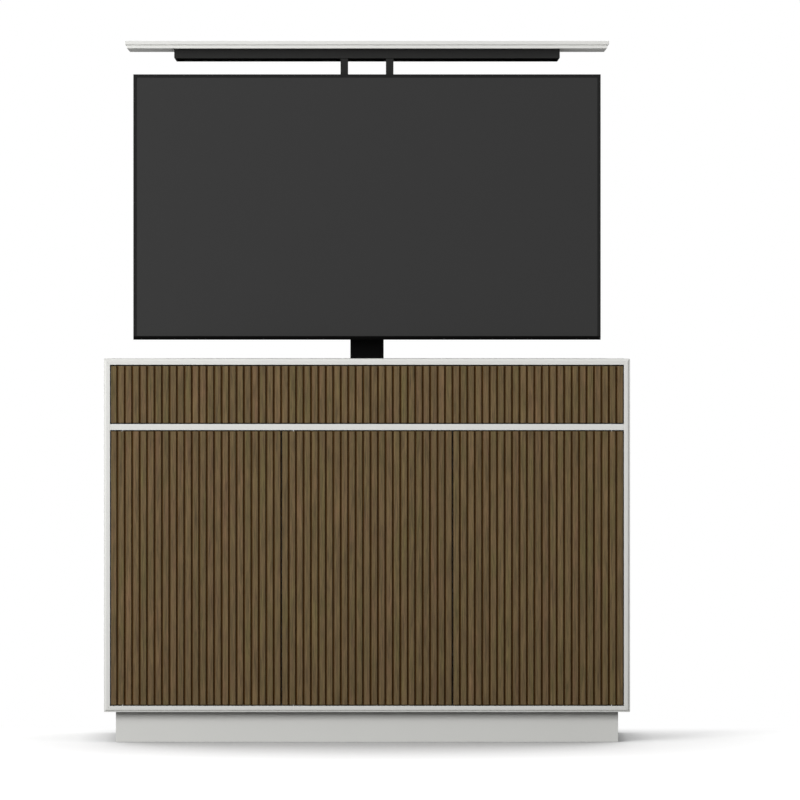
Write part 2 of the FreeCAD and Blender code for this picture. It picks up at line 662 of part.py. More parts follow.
def bush_plates(make, body, name):
    """Both bush plates of a door, or the seats that they are let into."""
    pivot_plate(make, body, name, DOOR_FOOT)
    pivot_plate(make, body, name, f"{DOOR_HEAD} - dims.pivot_plate")
    for start in (DOOR_FOOT, BUSH_FOOT):
        pivot_rectangle(make, body, name, start, "dims.bush_length", PLATE_DEPTH)


def door(name):
    """Backing board, slats and the two bush plates in the door's ends."""
    left, right = DOOR_EDGES[name]
    backing = plain_board(f"{name}_door_backing", left, BACKING_FRONT, DOOR_FOOT,
                          f"({right} - {left})", "dims.front_backing", DOOR_HEIGHT)
    bush_plates(cut_rectangle, backing, name)
    slats = slat_row(f"{name}_door_slats", MODULE_STARTS[name], "dims.slats_per_door",
                     DOOR_FOOT, DOOR_HEIGHT)
    bushes = new_body(f"{name}_door_pivot_bushes")
    bush_plates(pad_rectangle, bushes, name)
    for start in (DOOR_FOOT, BUSH_FOOT):
        cut_circle(bushes, "Z", start, "dims.bush_length", PIVOT_X[name], PIVOT_Y,
                   "dims.pivot_pin_radius + dims.pivot_play")
    return [backing, slats, bushes]


door_pieces = [piece for name in DOOR_NAMES for piece in door(name)]

# The carcass side of the pivots: a flush plate with a pin, above and below each door.
FLOOR_SEAT = f"({CARCASS_FLOOR} - dims.pivot_plate)"
PIN_REACH = "(dims.front_gap + dims.pivot_pin_engagement)"
pivot_plates = new_body("pivot_plates")
for name in DOOR_NAMES:
    for board, seat, start in ((bottom_board, FLOOR_SEAT, FLOOR_SEAT),
                               (middle_rail, RAIL_UNDER, f"{RAIL_UNDER} - {PIN_REACH}")):
        pivot_plate(cut_rectangle, board, name, seat)
        pivot_plate(pad_rectangle, pivot_plates, name, seat)
        pad_circle(pivot_plates, "Z", start, f"{PIN_REACH} + dims.pivot_plate",
                   PIVOT_X[name], PIVOT_Y, "dims.pivot_pin_radius")

# -------------------------------------------------------------------------------- flap

FLAP_LEFT = f"({INNER_LEFT} + dims.side_gap)"
FLAP_WIDTH = f"({INNER_WIDTH} - 2 * dims.side_gap)"
flap_backing = plain_board("flap_backing", FLAP_LEFT, BACKING_FRONT, FLAP_FOOT,
                           FLAP_WIDTH, "dims.front_backing", FLAP_HEIGHT)
flap_slats = slat_row("flap_slats", INNER_LEFT,
                      f"{len(DOOR_NAMES)} * dims.slats_per_door", FLAP_FOOT, FLAP_HEIGHT)

KNUCKLE = f"({FLAP_WIDTH} / dims.knuckle_count)"
KNUCKLE_LENGTH = f"({KNUCKLE} - dims.knuckle_play)"
LEAF_FRONT = f"({AXIS_Y} + dims.barrel_radius + dims.hinge_pin_play * 2)"


def hinge_leaf(label, leaf_under, first, count):
    """A flat leaf with tabs that carry every second knuckle of the barrel."""
    body = new_body(label)
    pad_rectangle(body, "X", FLAP_LEFT, FLAP_WIDTH, LEAF_FRONT, leaf_under,
                  f"{AXIS_Y} + dims.leaf_width - {LEAF_FRONT}", "dims.leaf")
    start = f"{FLAP_LEFT} + {first} * {KNUCKLE} + dims.knuckle_play / 2"
    tab = pad_rectangle(body, "X", start, KNUCKLE_LENGTH, AXIS_Y, leaf_under,
                        f"{LEAF_FRONT} - {AXIS_Y}", "dims.leaf")
    repeat(body, tab, "X", f"2 * {KNUCKLE}", count)
    knuckle = pad_circle(body, "X", start, KNUCKLE_LENGTH, AXIS_Y, AXIS_Z,
                         "dims.barrel_radius")
    repeat(body, knuckle, "X", f"2 * {KNUCKLE}", count)
    cut_circle(body, "X", FLAP_LEFT, FLAP_WIDTH, AXIS_Y, AXIS_Z,
               "dims.hinge_pin_radius + dims.hinge_pin_play")
    return body


flap_hinge_fixed_leaf = hinge_leaf("flap_hinge_fixed_leaf", RAIL_TOP, "0",
                                   "(dims.knuckle_count + 1) / 2")
flap_hinge_leaf = hinge_leaf("flap_hinge_leaf", f"{FLAP_FOOT} - dims.leaf", "1",
                             "(dims.knuckle_count - 1) / 2")
flap_hinge_pin = new_cylinder("flap_hinge_pin", "X", FLAP_LEFT, AXIS_Y, AXIS_Z,
                              "dims.hinge_pin_radius", FLAP_WIDTH)

# ------------------------------------------------------------------------ push latches

# Each latch hangs under a board, behind the free edge of its front.
LATCHES = {
    "left_door": (f"{DOOR_EDGES['left'][1]} - dims.latch_edge_inset", RAIL_UNDER),
    "middle_door": (f"{DOOR_EDGES['middle'][1]} - dims.latch_edge_inset", RAIL_UNDER),
    "right_door": (f"{DOOR_EDGES['right'][0]} + dims.latch_edge_inset", RAIL_UNDER),
    "flap_left": (f"{FLAP_LEFT} + dims.flap_latch_inset", CEILING),
    "flap_right": (f"{FLAP_LEFT} + {FLAP_WIDTH} - dims.flap_latch_inset", CEILING),
}
PLUNGER_TIP = f"({BACKING_REAR} + dims.plunger_play)"
LATCH_FRONT = f"({PLUNGER_TIP} + dims.plunger_reach)"
PLUNGER_LENGTH = "(dims.plunger_reach + dims.plunger_tail)"

latch_housings = new_body("latch_housings")
plungers = []
for name, (latch_x, under) in LATCHES.items():
    latch_z = f"({under} - dims.latch_height / 2)"
    pad_rectangle(latch_housings, "Y", LATCH_FRONT, "dims.latch_length",
                  f"{latch_x} - dims.latch_width / 2", f"{under} - dims.latch_height",
                  "dims.latch_width", "dims.latch_height")
    # room for the plunger, its travel and the spring behind it
    cut_circle(latch_housings, "Y", LATCH_FRONT, "dims.plunger_tail + dims.plunger_reach",
               latch_x, latch_z, "dims.plunger_radius + dims.plunger_play")
    plunger = new_cylinder(f"{name}_plunger", "Y", latch_x, PLUNGER_TIP, latch_z,
                           "dims.plunger_radius", PLUNGER_LENGTH)
    plungers.append(plunger)

# ------------------------------------------------------------------------- cable port

GROMMET_FRONT = f"({BAY_REAR} - dims.grommet_wall)"


def port_rectangle(make, start, length, margin):
    """Material or a cut round the cable port, wider than the port by a margin."""
    make(cable_grommet, "Y", start, length, f"{PORT_X} - {margin}", f"{PORT_Z} - {margin}",
         f"dims.cable_port_width + 2 * {margin}", f"dims.cable_port_height + 2 * {margin}")


cable_grommet = new_body("cable_grommet")
port_rectangle(pad_rectangle, BAY_REAR, "dims.back_board", "0")
port_rectangle(pad_rectangle, GROMMET_FRONT, "dims.grommet_wall", "dims.grommet_flange")
port_rectangle(cut_rectangle, GROMMET_FRONT, "dims.back_board + dims.grommet_wall",
               "(-dims.grommet_wall)")

# ------------------------------------------------------------------------- lift column


def column_block(body, start, length, width, depth):
    """A block centred on the column's axis."""
    return pad_rectangle(body, "Z", start, length, centred(width),
                         f"{COLUMN_Y} - {depth} / 2", width, depth)


def column_tube(label, foot, length, width, depth):
    """A rectangular tube with rounded corners, open at both ends."""
    body = new_body(label)
    block = column_block(body, foot, length, width, depth)
    round_edges(body, block, "Z", "dims.tube_corner")
    bore_width = f"({width} - 2 * dims.tube_wall)"
    bore_depth = f"({depth} - 2 * dims.tube_wall)"
    cut_rectangle(body, "Z", foot, length, centred(bore_width),
                  f"{COLUMN_Y} - {bore_depth} / 2", bore_width, bore_depth)
    return body


def glide_pads(label, head, outside, inside):
    """Four slide pads inside the mouth of one tube, round the tube that slides in it."""
    body = new_body(label)
    start = f"({head} - dims.glide_height)"
    wall_x = f"({outside[0]} / 2 - dims.tube_wall)"
    wall_y = f"({outside[1]} / 2 - dims.tube_wall)"
    face_x = f"({inside[0]} / 2 + dims.glide_play)"
    face_y = f"({inside[1]} / 2 + dims.glide_play)"
    half = "dims.glide_width / 2"
    for side in ("-1", "1"):
        sketch = new_sketch(body, "Z", start)
        draw_outline(sketch, [(f"{side} * {face_x}", f"{COLUMN_Y} - {half}"),
                              (f"{side} * {wall_x}", f"{COLUMN_Y} - {half}"),
                              (f"{side} * {wall_x}", f"{COLUMN_Y} + {half}"),
                              (f"{side} * {face_x}", f"{COLUMN_Y} + {half}")])
        draw_outline(sketch, [(f"-{half}", f"{COLUMN_Y} + {side} * {face_y}"),
                              (half, f"{COLUMN_Y} + {side} * {face_y}"),
                              (half, f"{COLUMN_Y} + {side} * {wall_y}"),
                              (f"-{half}", f"{COLUMN_Y} + {side} * {wall_y}")])
        pad(body, sketch, "Z", "dims.glide_height")
    return body


OUTER_SECTION = ("dims.outer_tube_width", "dims.outer_tube_depth")
MIDDLE_SECTION = ("dims.middle_tube_width", "dims.middle_tube_depth")
INNER_SECTION = ("dims.inner_tube_width", "dims.inner_tube_depth")

lift_base_plate = plain_board("lift_base_plate", centred("dims.base_plate_width"),
                              f"{COLUMN_Y} - dims.base_plate_depth / 2", CARCASS_FLOOR,
                              "dims.base_plate_width", "dims.base_plate_depth",
                              "dims.base_plate")

MOTOR_X = "(dims.outer_tube_width / 2 + dims.motor_play + dims.motor_radius)"
lift_gearmotor = new_body("lift_gearmotor")
gear_housing = pad_rectangle(
    lift_gearmotor, "Z", GEARBOX_FOOT, "dims.gearbox_height",
    "-dims.outer_tube_width / 2", f"{COLUMN_Y} - dims.outer_tube_depth / 2",
    "dims.outer_tube_width + dims.gearbox_side", "dims.outer_tube_depth")
gear_housing = round_edges(lift_gearmotor, gear_housing, "Z", "dims.tube_corner")
pad_circle(lift_gearmotor, "Z", GEARBOX_TOP, "dims.motor_length",
           MOTOR_X, COLUMN_Y, "dims.motor_radius")

lift_outer_tube = column_tube("lift_outer_tube", GEARBOX_TOP, "dims.outer_tube_length",
                              *OUTER_SECTION)
lift_middle_tube = column_tube("lift_middle_tube", MIDDLE_FOOT,
                               "dims.middle_tube_length", *MIDDLE_SECTION)
lift_inner_tube = column_tube("lift_inner_tube", INNER_FOOT, "dims.inner_tube_length",
                              *INNER_SECTION)
outer_tube_glides = glide_pads(
    "outer_tube_glides", f"{GEARBOX_TOP} + dims.outer_tube_length",
    OUTER_SECTION, MIDDLE_SECTION)
middle_tube_glides = glide_pads(
    "middle_tube_glides", f"{MIDDLE_FOOT} + dims.middle_tube_length",
    MIDDLE_SECTION, INNER_SECTION)

lift_spindle = new_body("lift_spindle")
pad_circle(lift_spindle, "Z", GEARBOX_TOP,
           f"{MIDDLE_FOOT} + dims.nut_height + dims.spindle_overrun - {GEARBOX_TOP}",
           "0", COLUMN_Y, "dims.spindle_radius")

spindle_nut = new_body("spindle_nut")
column_block(spindle_nut, MIDDLE_FOOT, "dims.nut_height",
             "(dims.middle_tube_width - 2 * dims.tube_wall)",
             "(dims.middle_tube_depth - 2 * dims.tube_wall)")
cut_circle(spindle_nut, "Z", MIDDLE_FOOT, "dims.nut_height", "0", COLUMN_Y,
           "dims.spindle_radius + dims.nut_play")

# ------------------------------------------------------------------------ control box

CONTROL_X = "dims.control_side"
CONTROL_Y = f"({BAY_REAR} - dims.control_setback - dims.control_depth)"
INLET_X = f"({CONTROL_X} + dims.control_width)"
INLET_Y = f"({CONTROL_Y} + dims.control_depth / 2)"
INLET_Z = f"({CARCASS_FLOOR} + dims.control_height / 2)"

lift_control_box = new_body("lift_control_box")
control_case = pad_rectangle(lift_control_box, "Z", CARCASS_FLOOR, "dims.control_height",
                             CONTROL_X, CONTROL_Y, "dims.control_width",
                             "dims.control_depth")
round_edges(lift_control_box, control_case, "Z", "dims.control_corner")
cut_rectangle(lift_control_box, "X", f"{INLET_X} - dims.inlet_depth", "dims.inlet_depth",
              f"{INLET_Y} - dims.inlet_width / 2", f"{INLET_Z} - dims.inlet_height / 2",
              "dims.inlet_width", "dims.inlet_height")

lift_power_inlet = new_body("lift_power_inlet")
pad_rectangle(lift_power_inlet, "X", f"{INLET_X} - dims.inlet_depth",
              "dims.inlet_depth + dims.inlet_reach",
              f"{INLET_Y} - dims.inlet_width / 2", f"{INLET_Z} - dims.inlet_height / 2",
              "dims.inlet_width", "dims.inlet_height")
cut_rectangle(lift_power_inlet, "X",
              f"{INLET_X} - dims.inlet_depth + dims.inlet_wall",
              "dims.inlet_depth + dims.inlet_reach - dims.inlet_wall",
              f"{INLET_Y} - dims.inlet_width / 2 + dims.inlet_wall",
              f"{INLET_Z} - dims.inlet_height / 2 + dims.inlet_wall",
              "dims.inlet_width - 2 * dims.inlet_wall",
              "dims.inlet_height - 2 * dims.inlet_wall")

# ----------------------------------------------------------------- screen and its mount

GLASS_WIDTH = f"({SCREEN_WIDTH} - 2 * dims.bezel)"
GLASS_HEIGHT = "(dims.screen_body_height - dims.bezel - dims.bezel_lower)"
GLASS_FOOT = f"({SCREEN_FOOT} + dims.bezel_lower)"

tv_bezel = new_body("tv_bezel")
frame_block = pad_rectangle(tv_bezel, "Y", SCREEN_FRONT, "dims.bezel_depth",
                            centred(SCREEN_WIDTH), SCREEN_FOOT, SCREEN_WIDTH,
                            "dims.screen_body_height")
bevel(tv_bezel, frame_block, "X", "dims.bezel_chamfer", (None, SCREEN_FRONT, SCREEN_FOOT))
cut_rectangle(tv_bezel, "Y", SCREEN_FRONT, "dims.bezel_depth",
              centred(GLASS_WIDTH), GLASS_FOOT, GLASS_WIDTH, GLASS_HEIGHT)

tv_screen = new_body("tv_screen")
pad_rectangle(tv_screen, "Y", f"{SCREEN_FRONT} + dims.bezel_proud",
              "dims.bezel_depth - dims.bezel_proud",
              centred(GLASS_WIDTH), GLASS_FOOT, GLASS_WIDTH, GLASS_HEIGHT)

REAR_WIDTH = f"({SCREEN_WIDTH} - 2 * dims.rear_inset)"
REAR_HEIGHT = "(dims.screen_body_height - 2 * dims.rear_inset)"
tv_rear_cover = new_body("tv_rear_cover")
pad_rectangle(tv_rear_cover, "Y", f"{SCREEN_FRONT} + dims.bezel_depth", "dims.rear_slab",
              centred(REAR_WIDTH), f"{SCREEN_FOOT} + dims.rear_inset",
              REAR_WIDTH, REAR_HEIGHT)
bulge = pad_rectangle(tv_rear_cover, "Y", SCREEN_BACK, "dims.bulge_depth",
                      centred("dims.bulge_width"), f"{SCREEN_FOOT} + dims.bulge_level",
                      "dims.bulge_width", "dims.bulge_height")
bevel(tv_rear_cover, bulge, "XZ", "dims.bulge_bevel",
      (None, f"{SCREEN_BACK} + dims.bulge_depth", None))
# the cover is a shell, open towards the screen
cut_rectangle(tv_rear_cover, "Y", f"{SCREEN_FRONT} + dims.bezel_depth",
              "dims.rear_slab - dims.rear_wall",
              centred(f"{REAR_WIDTH} - 2 * dims.rear_wall"),
              f"{SCREEN_FOOT} + dims.rear_inset + dims.rear_wall",
              f"({REAR_WIDTH} - 2 * dims.rear_wall)",
              f"({REAR_HEIGHT} - 2 * dims.rear_wall)")
BULGE_WALL = "(dims.bulge_bevel + dims.rear_wall)"
cut_rectangle(tv_rear_cover, "Y", f"{SCREEN_BACK} - dims.rear_wall", "dims.bulge_depth",
              centred(f"dims.bulge_width - 2 * {BULGE_WALL}"),
              f"{SCREEN_FOOT} + dims.bulge_level + {BULGE_WALL}",
              f"(dims.bulge_width - 2 * {BULGE_WALL})",
              f"(dims.bulge_height - 2 * {BULGE_WALL})")

tv_mount_rails = new_body("tv_mount_rails")
for side in ("-1", "1"):
    rail_x = f"({side} * dims.rail_spacing / 2 - dims.rail_width / 2)"
    rail_z = f"({SCREEN_FOOT} + dims.rail_level)"
    rail_depth = f"({MOUNT_FRONT} - {SCREEN_BACK})"
    pad_rectangle(tv_mount_rails, "Z", rail_z, "dims.rail_height", rail_x, SCREEN_BACK,
                  "dims.rail_width", rail_depth)
    # the channel is open towards the screen
    cut_rectangle(tv_mount_rails, "Z", rail_z, "dims.rail_height",
                  f"{rail_x} + dims.rail_wall", SCREEN_BACK,
                  "dims.rail_width - 2 * dims.rail_wall",
                  f"{rail_depth} - dims.rail_wall")

tv_mount_plate = new_body("tv_mount_plate")
pad_rectangle(tv_mount_plate, "Y", MOUNT_FRONT, "dims.mount_plate",
              centred("dims.mount_plate_width"), MOUNT_FOOT,
              "dims.mount_plate_width", "dims.mount_plate_height")
window_sketch = new_sketch(tv_mount_plate, "Y", MOUNT_FRONT)
for side in ("-1", "1"):
    draw_rectangle(
        window_sketch,
        f"({side} * dims.mount_window_spacing / 2 - dims.mount_window_width / 2)",
        f"({MOUNT_FOOT} + (dims.mount_plate_height - dims.mount_window_height) / 2)",
        "dims.mount_window_width", "dims.mount_window_height")
pocket(tv_mount_plate, window_sketch, "Y", "dims.mount_plate")

# The mast hangs from the head of the inner tube, in front of the column.
tv_mast = new_body("tv_mast")
mast_sketch = new_sketch(tv_mast, "X", centred("dims.mast_width"))
MAST_BACK = f"({COLUMN_Y} + dims.inner_tube_depth / 2)"
draw_outline(mast_sketch, [
    (MAST_FRONT, MOUNT_FOOT),
    (f"{MAST_FRONT} + dims.mast_plate", MOUNT_FOOT),
    (f"{MAST_FRONT} + dims.mast_plate", INNER_HEAD),
    (MAST_BACK, INNER_HEAD),
    (MAST_BACK, f"{INNER_HEAD} + dims.mast_plate"),
    (MAST_FRONT, f"{INNER_HEAD} + dims.mast_plate")])
pad(tv_mast, mast_sketch, "X", "dims.mast_width")

lid_uprights = new_body("lid_uprights")
for side in ("-1", "1"):
    upright_x = f"({side} * dims.upright_spacing / 2 - dims.upright_section / 2)"
    upright_height = f"({TRAY_UNDER} - {MOUNT_FOOT})"
    pad_rectangle(lid_uprights, "Z", MOUNT_FOOT, upright_height, upright_x,
                  UPRIGHT_FRONT, "dims.upright_section", "dims.upright_section")
    cut_rectangle(lid_uprights, "Z", MOUNT_FOOT, upright_height,
                  f"{upright_x} + dims.upright_wall",
                  f"{UPRIGHT_FRONT} + dims.upright_wall",
                  "dims.upright_section - 2 * dims.upright_wall",
                  "dims.upright_section - 2 * dims.upright_wall")

# --------------------------------------------------------------------- lid and carrier

TRAY_FRONT = f"({UPRIGHT_FRONT} - dims.upright_gap)"
TRAY_WIDTH = f"({PLUG_WIDTH} - 2 * dims.tray_side_inset)"
TRAY_DEPTH = f"({PLUG_FRONT} + {PLUG_DEPTH} - dims.tray_rear_inset - {TRAY_FRONT})"
lid_tray = new_body("lid_tray")
tray_block = pad_rectangle(lid_tray, "Z", TRAY_UNDER, "dims.tray_height",
                           centred(TRAY_WIDTH), TRAY_FRONT, TRAY_WIDTH, TRAY_DEPTH)
round_edges(lid_tray, tray_block, "XY", "dims.tray_fold", (None, None, TRAY_UNDER))
cut_rectangle(lid_tray, "Z", f"{TRAY_UNDER} + dims.tray_wall",
              "dims.tray_height - dims.tray_wall",
              centred(f"{TRAY_WIDTH} - 2 * dims.tray_wall"),
              f"{TRAY_FRONT} + dims.tray_wall",
              f"{TRAY_WIDTH} - 2 * dims.tray_wall",
              f"{TRAY_DEPTH} - 2 * dims.tray_wall")

lid_board = new_body("lid_board")
lid_block = pad_rectangle(lid_board, "Z", LID_SHOULDER, "dims.lid_bevel + dims.lid_slab",
                          centred(LID_WIDTH), LID_FRONT, LID_WIDTH, LID_DEPTH)
bevel(lid_board, lid_block, "XY", "dims.lid_bevel", (None, None, LID_SHOULDER))
pad_rectangle(lid_board, "Z", LID_UNDER, "dims.lid_plug",
              centred(PLUG_WIDTH), PLUG_FRONT, PLUG_WIDTH, PLUG_DEPTH)

# ------------------------------------------------------------------------ check, write

PIECES = [
    left_side, right_side, top_board, bottom_board, middle_rail, back_panel,
    bay_partition, left_divider, right_divider, *shelves, shelf_supports, *plinth_boards,
    levelling_feet, *door_pieces, pivot_plates, flap_backing, flap_slats,
    flap_hinge_fixed_leaf, flap_hinge_leaf, flap_hinge_pin, latch_housings, *plungers,
    cable_grommet, lift_base_plate, lift_gearmotor, lift_outer_tube, lift_middle_tube,
    lift_inner_tube, outer_tube_glides, middle_tube_glides, lift_spindle, spindle_nut,
    lift_control_box, lift_power_inlet, tv_bezel, tv_screen, tv_rear_cover,
    tv_mount_rails, tv_mount_plate, tv_mast, lid_uprights, lid_tray, lid_board,
]

doc.recompute()
for item in doc.Objects:
    if "Invalid" in item.State or "Error" in item.State:
        raise RuntimeError(f"{item.Name} did not compute: {item.State}")
for piece in PIECES:
    if piece.Shape.isNull() or not piece.Shape.isValid():
        raise RuntimeError(f"{piece.Label} has no valid shape")

os.makedirs("parts", exist_ok=True)
for piece in PIECES:
    piece.Shape.exportStep(f"parts/{piece.Label}.step")
    print(piece.Label, len(piece.Shape.Solids), round(piece.Shape.Volume))
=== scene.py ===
import math

import bmesh
import bpy
from bpy.props import FloatProperty, FloatVectorProperty, PointerProperty
from bpy.types import Operator, Panel, PropertyGroup
from mathutils import Matrix, Vector


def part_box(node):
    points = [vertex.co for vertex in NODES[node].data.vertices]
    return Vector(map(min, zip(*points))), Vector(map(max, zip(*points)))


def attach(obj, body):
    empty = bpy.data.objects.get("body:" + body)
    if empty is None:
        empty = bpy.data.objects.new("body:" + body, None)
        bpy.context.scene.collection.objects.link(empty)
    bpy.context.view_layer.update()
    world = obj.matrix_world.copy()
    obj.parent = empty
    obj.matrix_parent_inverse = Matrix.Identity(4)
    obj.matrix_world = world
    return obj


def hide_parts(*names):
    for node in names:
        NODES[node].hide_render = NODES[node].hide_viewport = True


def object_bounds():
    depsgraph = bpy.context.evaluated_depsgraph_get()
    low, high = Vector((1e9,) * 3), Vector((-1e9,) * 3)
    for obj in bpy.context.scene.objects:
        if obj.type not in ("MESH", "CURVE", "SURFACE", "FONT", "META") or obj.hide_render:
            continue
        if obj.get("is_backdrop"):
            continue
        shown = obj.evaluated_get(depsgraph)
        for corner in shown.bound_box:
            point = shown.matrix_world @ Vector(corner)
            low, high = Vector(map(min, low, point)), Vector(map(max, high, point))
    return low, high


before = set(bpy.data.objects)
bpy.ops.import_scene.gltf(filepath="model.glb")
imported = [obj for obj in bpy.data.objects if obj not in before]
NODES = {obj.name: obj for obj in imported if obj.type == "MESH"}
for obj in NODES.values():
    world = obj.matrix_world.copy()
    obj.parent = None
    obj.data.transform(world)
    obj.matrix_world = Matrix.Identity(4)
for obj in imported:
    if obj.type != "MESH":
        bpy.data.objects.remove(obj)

bl_info = {
    "name": "Lift cabinet finishes",
    "version": (1, 0, 0),
    "blender": (4, 5, 0),
    "location": "View3D > Sidebar > Cabinet",
    "description": "Finishes, fittings and studio of a slatted cabinet with a screen lift",
    "category": "Object",
}

MM = 0.001
WHITE = (1, 1, 1)
# the directions in which a fitting's face can look
RIGHT = (1, 0, 0)
LEFT = (-1, 0, 0)
BACK = (0, 1, 0)
FRONT = (0, -1, 0)
UP = (0, 0, 1)
DOWN = (0, 0, -1)
# how the rounded edges are found and shaded
WELD_REACH = 0.01 * MM
SHARP_ANGLE = math.radians(40)
LARGE_FACES_LEAD = 100
# the nodes of the construction, by what covers them
BOARDS = [
    "left_side", "right_side", "top_board", "bottom_board", "middle_rail", "back_panel",
    "bay_partition", "left_divider", "right_divider", "left_shelf", "middle_shelf",
    "right_shelf", "plinth_front", "plinth_rear", "plinth_left", "plinth_right",
    "lid_board",
]
SLAT_ROWS = ["left_door_slats", "middle_door_slats", "right_door_slats", "flap_slats"]
BACKINGS = ["left_door_backing", "middle_door_backing", "right_door_backing",
            "flap_backing"]
COATED_STEEL = ["lift_base_plate", "tv_mast", "tv_mount_plate", "tv_mount_rails",
                "lid_uprights", "lid_tray"]
DARK_STEEL = ["lift_gearmotor", "lift_outer_tube", "lift_middle_tube", "lift_inner_tube",
              "flap_hinge_fixed_leaf", "flap_hinge_leaf", "flap_hinge_pin"]
ZINC_STEEL = ["shelf_supports", "pivot_plates", "left_door_pivot_bushes",
              "middle_door_pivot_bushes", "right_door_pivot_bushes", "lift_spindle"]
BLACK_PLASTIC = ["tv_rear_cover", "cable_grommet", "lift_control_box",
                 "lift_power_inlet", "levelling_feet", "latch_housings",
                 "left_door_plunger", "middle_door_plunger", "right_door_plunger",
                 "flap_left_plunger", "flap_right_plunger"]
PALE_PLASTIC = ["outer_tube_glides", "middle_tube_glides", "spindle_nut"]
# each latch and the front that it holds
LATCHES = {"left_door": "left_door", "middle_door": "middle_door",
           "right_door": "right_door", "flap_left": "flap", "flap_right": "flap"}


# ------------------------------------------------ properties


def colour(name, description, default):
    return FloatVectorProperty(name=name, description=description, default=default,
                               subtype="COLOR", size=3, min=0, max=1)


def length(name, description, millimetres):
    return FloatProperty(name=name, description=description,
                         default=millimetres * MM, subtype="DISTANCE", unit="LENGTH")


def level(name, description, default):
    return FloatProperty(name=name, description=description, default=default, min=0)


class CabinetFinishes(PropertyGroup):
    """Colours and surface sizes of the cabinet, its lift and its screen."""

    lacquer: colour("Lacquer", "Satin lacquer of the boards", (0.715, 0.715, 0.69))
    # painted shade: a dark colour on the floor board's underside, which darkens the plinth
    # beneath it
    sealer: colour("Underside_shade", "Dark sealer under the floor board", (0.05, 0.05, 0.05))
    slat: colour("Slats", "Stained oak of the slats", (0.13, 0.088, 0.04))
    slat_warm: colour("Warm slats", "Slats that lean to red", (0.152, 0.091, 0.046))
    slat_cool: colour("Cool slats", "Slats that lean to olive grey",
                      (0.115, 0.088, 0.034))
    # painted shade: the board's colour where it shows between the slats, darker than its
    # stain
    groove_painted_shade: colour("Groove_shade", "Stained board behind the slats", (0.085, 0.038, 0.005))
    veneer: colour("Door backs", "Stained veneer of the door backs",
                   (0.112, 0.076, 0.035))
    coated_steel: colour("Coated steel", "Powder coat of the carrier and the mount",
                         (0.012, 0.012, 0.0115))
    dark_steel: colour("Dark steel", "Paint of the lift column and the flap's hinge",
                       (0.0025, 0.0025, 0.0025))
    zinc: colour("Zinc", "Plated pivots, supports and screws", (0.56, 0.57, 0.58))
    black_plastic: colour("Black plastic", "Housings and rear cover", (0.026, 0.026, 0.026))
    pale_plastic: colour("Pale plastic", "Slide pads and spindle nut", (0.75, 0.73, 0.66))
    screen: colour("Screen", "Dark display face", (0.033, 0.033, 0.033))
    bezel: colour("Screen frame", "Frame round the display", (0.017, 0.017, 0.017))
    # painted shade on the lower bar of the screen's frame
    lower_bezel_painted_shade: colour("Lower bar", "Lower bar of the screen's frame",
                        (0.004, 0.004, 0.004))
    # painted shade: the colour of the dark sheets behind vents and sockets
    recess: colour("Opening_shade", "Depth behind vents and sockets", (0.002, 0.002, 0.002))
    lamp: colour("Lamp", "Lens of the control box's lamp", (0.05, 0.55, 0.12))
    edge_radius: length("Edge radius", "Rounding of the lacquered edges", 0.9)
    slat_edge_radius: length("Slat edge radius", "Rounding of the slat edges", 0.35)
    metal_edge_radius: length("Metal edge radius", "Rounding of steel and plastic", 0.3)
    fitting_edge_radius: length("Fitting edge radius", "Rounding of plated edges", 0.15)
    slat_variation: level("Slat variation", "Difference in tone between slats", 0.14)
    grain_strength: level("Grain strength", "Depth of the grain's colour", 1.0)


class CabinetStudio(PropertyGroup):
    """Camera, floor and light."""

    view_distance: length("View distance", "From the camera to the front", 16000)
    camera_height: length("Camera height", "Height of the camera", 1048.7)
    pixel_size: length("Pixel size", "What a pixel spans on the front", 2.6035)
    axis_column: level("Axis column", "Pixel column of the cabinet's middle", 367)
    horizon_row: level("Horizon row", "Pixel row at the camera's height", 340)
    picture_size: level("Picture size", "Pixels on each side of the picture", 800)
    floor_reach: length("Floor reach", "From the cabinet to the floor's edges", 9000)
    floor_fade: length("Floor fade", "Where the shade ends behind the cabinet", 160)
    contact_reach: length("Contact reach", "Width of the shade at the rear foot", 140)
    contact_shade: level("Contact shade", "Depth of the shade at the rear foot", 0.8)
    floor_glow: level("Floor glow", "White that the floor adds for the camera", 0.68)
    floor_colour: level("Floor colour", "Grey level of the floor", 0.55)
    near_bounce: level("Near bounce", "Grey that the near floor throws back", 0.24)
    far_bounce: level("Far bounce", "Grey that the farther floor throws back", 0.5)
    shade_reach: length("Shade reach", "How far the soft shade runs from a piece", 900)
    shade_front: level("Front shade", "Depth of the soft shade before the cabinet", 1.9)
    shade_side: level("Side shade", "Depth of the soft shade beside the cabinet", 0.8)
    side_softness: level("Side softness", "Under one, the side shade reaches farther", 0.55)
    ground_light: level("Light from the ground", "Light level from behind and below", 0.6)
    sky_low: level("Light at the horizon", "Light level of the room's walls", 0.08)
    sky_high: level("Light from above", "Light level of the ceiling", 0.45)
    rear_light: level("Light from behind", "Light level of the wall behind", 1.0)
    key_size: length("Key light size", "Side of the softbox", 5600)
    key_place: FloatVectorProperty(name="Key light place", description="Softbox's centre",
                                   default=(-6.5, -8.5, 5.0), size=3,
                                   subtype="TRANSLATION", unit="LENGTH")
    key_aim: length("Key light aim", "Height that the softbox is turned to", 900)
    key_power: FloatProperty(name="Key light", description="Softbox at the upper left",
                             default=1100, min=0, unit="POWER")


class CabinetSettings(PropertyGroup):
    """Everything that the panel shows."""

    finishes: PointerProperty(type=CabinetFinishes)
    studio: PointerProperty(type=CabinetStudio)


def finishes():
    return bpy.context.scene.cabinet.finishes


# ------------------------------------------ material helpers


